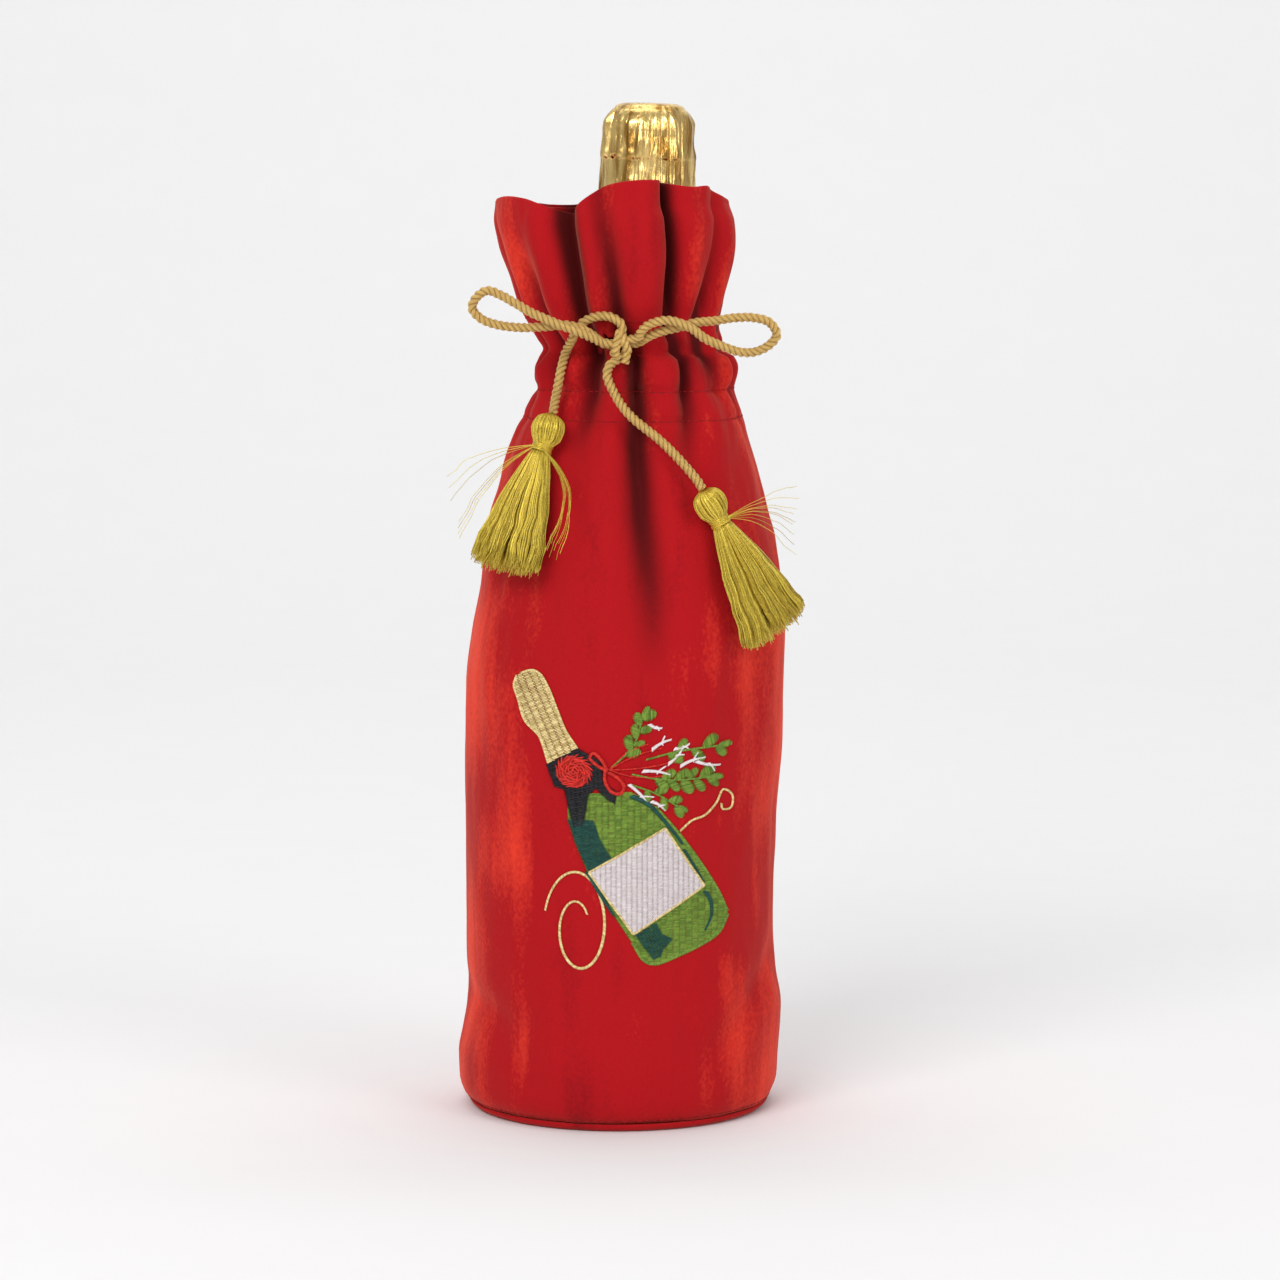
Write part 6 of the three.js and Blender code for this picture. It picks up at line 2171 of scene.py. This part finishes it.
    def build_bow(self) -> None:
        """Sews the round rosette, the ribbon's loops and the red stalks."""
        sewn, rng = StitchSet(), random.Random(5)
        middle = self.at(-3.6, 62.6)
        for ring in range(6):
            reach = 5.1 - ring * 0.9
            count = max(4, round(2 * math.pi * reach / 1.5))
            for k in range(count):
                turn = 2 * math.pi * (k / count) + ring * 0.7
                half, lean = 1.35, 0.35 + rng.uniform(-0.4, 0.4)
                x, z = reach * math.cos(turn), reach * 0.93 * math.sin(turn)
                way = (-math.sin(turn + lean) * half, math.cos(turn + lean) * half)
                ends = [
                    (middle[0] + (x + s * way[0]) * MM, middle[1] + (z + s * way[1]) * MM) for s in (-1, 1)
                ]
                self.sew(sewn, ends[0], ends[1], (0.72 + 0.12 * ring) * MM)
        ring_of = [
            (middle[0] + 5 * math.cos(t) * MM, middle[1] + 4.7 * math.sin(t) * MM)
            for t in np.linspace(0, 2 * math.pi, 22)
        ]
        self.fill(sewn, ring_of[:-1], 0.42 * MM, 1.9 * MM, 0.6 * MM, 0.6, 0.5)
        self.finish(sewn, "sewn_rosette", "scarlet_thread", "motif_rosette", 0.3, 12)
        ribbon = StitchSet()
        loops = (
            [
                (-4.8, 115.2), (-4.9, 111.6), (-2.9, 108.2), (-0.2, 107.6), (0.9, 109.8), (-0.6, 112.2),
                (-4, 114.4)
            ],
            [(-4.3, 114.6), (-7.6, 116.6), (-9.6, 118.8), (-8.4, 120.2), (-6, 118), (-4.2, 115)],
        )
        for loop in loops:
            self.satin(ribbon, [(x * MM, z * MM) for x, z in loop], lambda s: 1.3 * MM, 0.7 * MM)
        for tip, bow in (
            ((12.6, 121.6), 1.0), ((16.8, 117.4), -0.6), ((13.2, 113), -1.2), ((8.6, 123), 1.4)
        ):
            self.satin(ribbon, self.stalk((-3.6, 115), tip, bow), lambda s: 0.6 * MM, 0.3 * MM)
        self.finish(ribbon, "sewn_ribbon", "scarlet_thread", "motif_ribbon", 0.2, 13)

    def stalk(self, root: Place, tip: Place, bow: float) -> list[Place]:
        """A bowed line between two places, all given in millimetres."""
        along = (tip[0] - root[0], tip[1] - root[1])
        long = math.hypot(*along)
        aside = (-along[1] / long, along[0] / long)
        line = []
        for share in np.linspace(0, 1, 6):
            swell = bow * math.sin(math.pi * share)
            line.append(
                (
                    (root[0] + along[0] * share + aside[0] * swell) * MM,
                    (root[1] + along[1] * share + aside[1] * swell) * MM
                )
            )
        return line

    def leaf(self, sewn: StitchSet, root: Place, angle: float, long: float, wide: float) -> None:
        """Adds one rounded leaf of satin stitches, in metres from a root place."""
        cos, sin = math.cos(angle), math.sin(angle)
        edge = []
        for turn in np.linspace(0, 2 * math.pi, 18, endpoint=False):
            out = long / 2 * (1 - math.cos(turn))
            aside = wide / 2 * math.sin(turn) * (0.86 + 0.3 * out / long)
            edge.append((root[0] + out * cos - aside * sin, root[1] + out * sin + aside * cos))
        self.fill(sewn, edge, 0.36 * MM, 0.0, 0.34 * MM, angle + math.pi / 2 - 0.5)

    def build_sprigs(self) -> None:
        """Sews the leafy sprigs and the pale twigs between them."""
        sprigs = {
            "motif_sprig_upper": [
                ((-2.8, 116), (6.6, 131.6), -2.2, 7, 4.6), ((8, 118.2), (30.4, 121.4), 0.8, 5, 5.2)
            ],
            "motif_sprig_lower": [
                ((3.6, 113.6), (27.6, 112), -1.2, 9, 5.2), ((3.6, 110.2), (17.6, 103), 0.8, 5, 4.4)
            ],
        }
        for seed, (node, stalks) in enumerate(sprigs.items()):
            sewn, rng = StitchSet(), random.Random(17 + seed)
            for root, tip, bow, leaves, long in stalks:
                line = self.stalk(root, tip, bow)
                self.satin(sewn, line, lambda s: 0.7 * MM, 0.3 * MM)
                path = route_through([Vector((x, 0, z)) for x, z in line], 0.5 * MM)
                for k in range(leaves):
                    share = 0.3 + 0.66 * k / (leaves - 1)
                    spot = path[int(share * (len(path) - 1))]
                    way = math.atan2(tip[1] - root[1], tip[0] - root[0])
                    turn = way + (0.75 if k % 2 else -0.75) * rng.uniform(0.7, 1.2)
                    size = long * rng.uniform(0.8, 1.15) * MM
                    self.leaf(sewn, (spot[0], spot[2]), turn, size, rng.uniform(0.5, 0.66) * size)
                self.leaf(sewn, (path[-2][0], path[-2][2]), way, long * 0.9 * MM, 0.42 * long * MM)
            self.finish(sewn, node.replace("motif", "sewn"), "green_thread", node, 0.22, 20 + seed)
        twigs = StitchSet()
        forks = (((9.6, 121.2), (15.8, 124.2), 1), ((14.6, 116.6), (19.2, 121.6), -1),
            ((6.8, 114.6), (15.4, 113.2), 1),
                 ((23.4, 117), (31, 115.4), -1), ((2.6, 110.4), (9.4, 102.8), 1),
                 ((8.8, 129), (12.9, 127.8), -1),
                 ((18.4, 115.8), (26.3, 118.2), 1), ((16.6, 121.2), (21.4, 122.8), -1),
                 ((9.4, 105), (13.8, 101.8), 1))
        for root, tip, turn in forks:
            self.satin(twigs, self.stalk(root, tip, 0.5 * turn), lambda s: (1.4 - 0.8 * s) * MM, 0.34 * MM)
            middle = ((root[0] + tip[0]) / 2, (root[1] + tip[1]) / 2)
            aside = (-(tip[1] - root[1]) * 0.3 * turn, (tip[0] - root[0]) * 0.3 * turn)
            branch = (
                middle[0] + (tip[0] - root[0]) * 0.3 + aside[0],
                middle[1] + (tip[1] - root[1]) * 0.3 + aside[1]
            )
            self.satin(twigs, self.stalk(middle, branch, 0.2), lambda s: (0.9 - 0.4 * s) * MM, 0.36 * MM)
        self.finish(twigs, "sewn_twigs", "white_thread", "motif_twigs", 0.2, 23)

    def build_scrolls(self) -> None:
        """Sews the two gold scrolls, which are no letter."""
        sewn = StitchSet()
        line = []
        for share in np.linspace(0, 1, 34):
            turn = math.radians(40) + share * 1.35 * 2 * math.pi
            size = 0.35 + 0.65 * share
            line.append(
                ((-13.4 + 10.6 * size * math.cos(turn)) * MM, (65 + 19.4 * size * math.sin(turn)) * MM)
            )
        self.satin(sewn, line, lambda s: (0.75 + 0.35 * math.sin(math.pi * s)) * MM, 0.3 * MM)
        self.finish(sewn, "sewn_scroll", "gold_thread", "motif_flourish", 0.22, 24)
        curl = StitchSet()
        points = [(18.4, 95.4), (22, 98.4), (26, 99.8), (29.6, 103.4), (31.8, 107.4), (34.6, 105.4),
            (34.2, 101.4),
                  (31.6, 101.2), (31.2, 103.2)]
        self.satin(curl, [(x * MM, z * MM) for x, z in points], lambda s: 0.85 * MM, 0.3 * MM)
        self.finish(curl, "sewn_curl", "gold_thread", "motif_curl", 0.22, 25)


# ---- studio --------------------------------------------------------------------------------------------


@dataclass
class Studio:
    """A pale floor that curves up behind, soft lights and the camera."""

    eye: Vector = field(default_factory=lambda: Vector((0.0059, -1.45, 0.31)))
    pitch: float = math.radians(83.707)
    lens: float = 128.1

    def build_camera(self) -> None:
        """Sets up the camera, level left to right and looking slightly down."""
        data = bpy.data.cameras.new("camera")
        data.lens = self.lens
        data.sensor_width = 36.0
        data.clip_start, data.clip_end = 0.05, 60.0
        camera = bpy.data.objects.new("camera", data)
        camera.location = self.eye
        camera.rotation_euler = (self.pitch, 0.0, 0.0)
        bpy.context.scene.collection.objects.link(camera)
        bpy.context.scene.camera = camera

    def build_floor(self) -> None:
        """Makes the seamless paper sweep."""
        wide, radius = 9.0, 1.2
        profile = [(-12.0, 0.0), (-1.0, 0.0), (1.2, 0.0)]
        for share in np.linspace(0.1, 1, 10):
            turn = share * math.pi / 2
            profile.append((1.2 + radius * math.sin(turn), radius * (1 - math.cos(turn))))
        profile.append((1.2 + radius, 4.0))
        points = [(x, y, z) for y, z in profile for x in (-wide, wide)]
        faces = [(2 * k, 2 * k + 1, 2 * k + 3, 2 * k + 2) for k in range(len(profile) - 1)]
        floor = new_object("paper_sweep", new_mesh("paper_sweep", points, faces))
        book = Nodes("white paper")
        grain = book.speckle((30.0, 30.0, 30.0), 2.0)
        book.shade(
            Base_Color=book.mix(grain, (0.87, 0.87, 0.875), (0.885, 0.885, 0.89)), Roughness=0.9,
            Specular_IOR_Level=0.1
        )
        floor.data.materials.append(book.material)

    def add_light(
        self,
        name: str,
        place: tuple[float, float, float],
        size: tuple[float, float],
        power: float,
        aim: Vector = Vector((0, 0, 0.15)),
    ) -> None:
        """Adds a soft box.

        Args:
            name: The light's name.
            place: Where it stands.
            size: Its width and height.
            power: Its power in watts.
            aim: What it faces, which is the bag unless told otherwise.
        """
        data = bpy.data.lights.new(name, "AREA")
        data.shape = "RECTANGLE"
        data.size, data.size_y = size
        data.energy = power
        light = bpy.data.objects.new(name, data)
        light.location = place
        light.rotation_euler = (aim - light.location).to_track_quat("-Z", "Y").to_euler()
        bpy.context.scene.collection.objects.link(light)

    def build_lights(self) -> None:
        """Sets up the world and three soft boxes."""
        world = bpy.data.worlds.new("studio")
        world.use_nodes = True
        world.node_tree.nodes["Background"].inputs["Color"].default_value = (1.0, 0.995, 0.985, 1.0)
        world.node_tree.nodes["Background"].inputs["Strength"].default_value = 0.42
        bpy.context.scene.world = world
        bpy.context.scene.view_settings.view_transform = "Standard"
        self.add_light("key", (-0.75, -1.6, 1.25), (1.1, 0.9), 21.0)
        self.add_light("fill", (1.3, -1.3, 0.8), (0.8, 1.0), 8.0)
        self.add_light("top", (0.0, 0.2, 2.0), (1.4, 1.4), 7.0)
        self.add_light("wash", (0.0, 0.9, 2.6), (3.4, 1.0), 26.0, Vector((0, 3.2, 0.4)))


def main() -> None:
    """Builds the studio, the cord, the bag, its embroidery and the bottle."""
    logging.basicConfig(level=logging.INFO, format="%(name)s: %(message)s")
    studio = Studio()
    studio.build_camera()
    bottle = Bottle()
    cloth = Cloth(bottle)
    left = Tassel(
        "left", Vector((-0.3, -0.17, -0.93)), Vector((-0.55, -0.83, 0)), Vector((-0.1, -0.2, -0.4)) * MM,
        13 * MM,
        tuple((-24 - 2 * k, 34 - 3.2 * k, 1.5 + 0.4 * k, -5.5 - 0.3 * k) for k in range(3))
        + tuple((-16 - 0.8 * k, 45 - 1.6 * k, 2.0, -4.5) for k in range(4))
        + tuple((15.5 + 1.1 * k, 44 - 2.1 * (k % 3), 2.6 + 0.2 * k, 10.5 - 0.6 * (k % 4)) for k in range(8))
        + tuple((11.0 + 0.6 * k, 49 - 1.2 * (k % 2), 2.0, 3.0) for k in range(4)),
    )
    right = Tassel(
        "right", Vector((0.46, 0.1, -0.88)), Vector((0.72, -0.69, 0)), Vector((0.3, -0.2, -0.4)) * MM,
        14 * MM,
        tuple((24 + 2.5 * k, 25 - 3.0 * k, 1.5, 6.0 + 0.5 * k) for k in range(4))
        + tuple((17 + 1.8 * k, 33 - 2.6 * k, 2.0, 5.0 + 0.4 * k) for k in range(5))
        + tuple((-10.0 - 0.9 * k, 44 - 3.0 * k, 1.5, -1.5) for k in range(2)),
    )
    Cord(cloth).build({"left": left, "right": right})
    outside = Bag(cloth).build()
    Motif(outside).build()
    bottle.build()
    studio.build_floor()
    studio.build_lights()


if __name__ == "__main__":
    main()
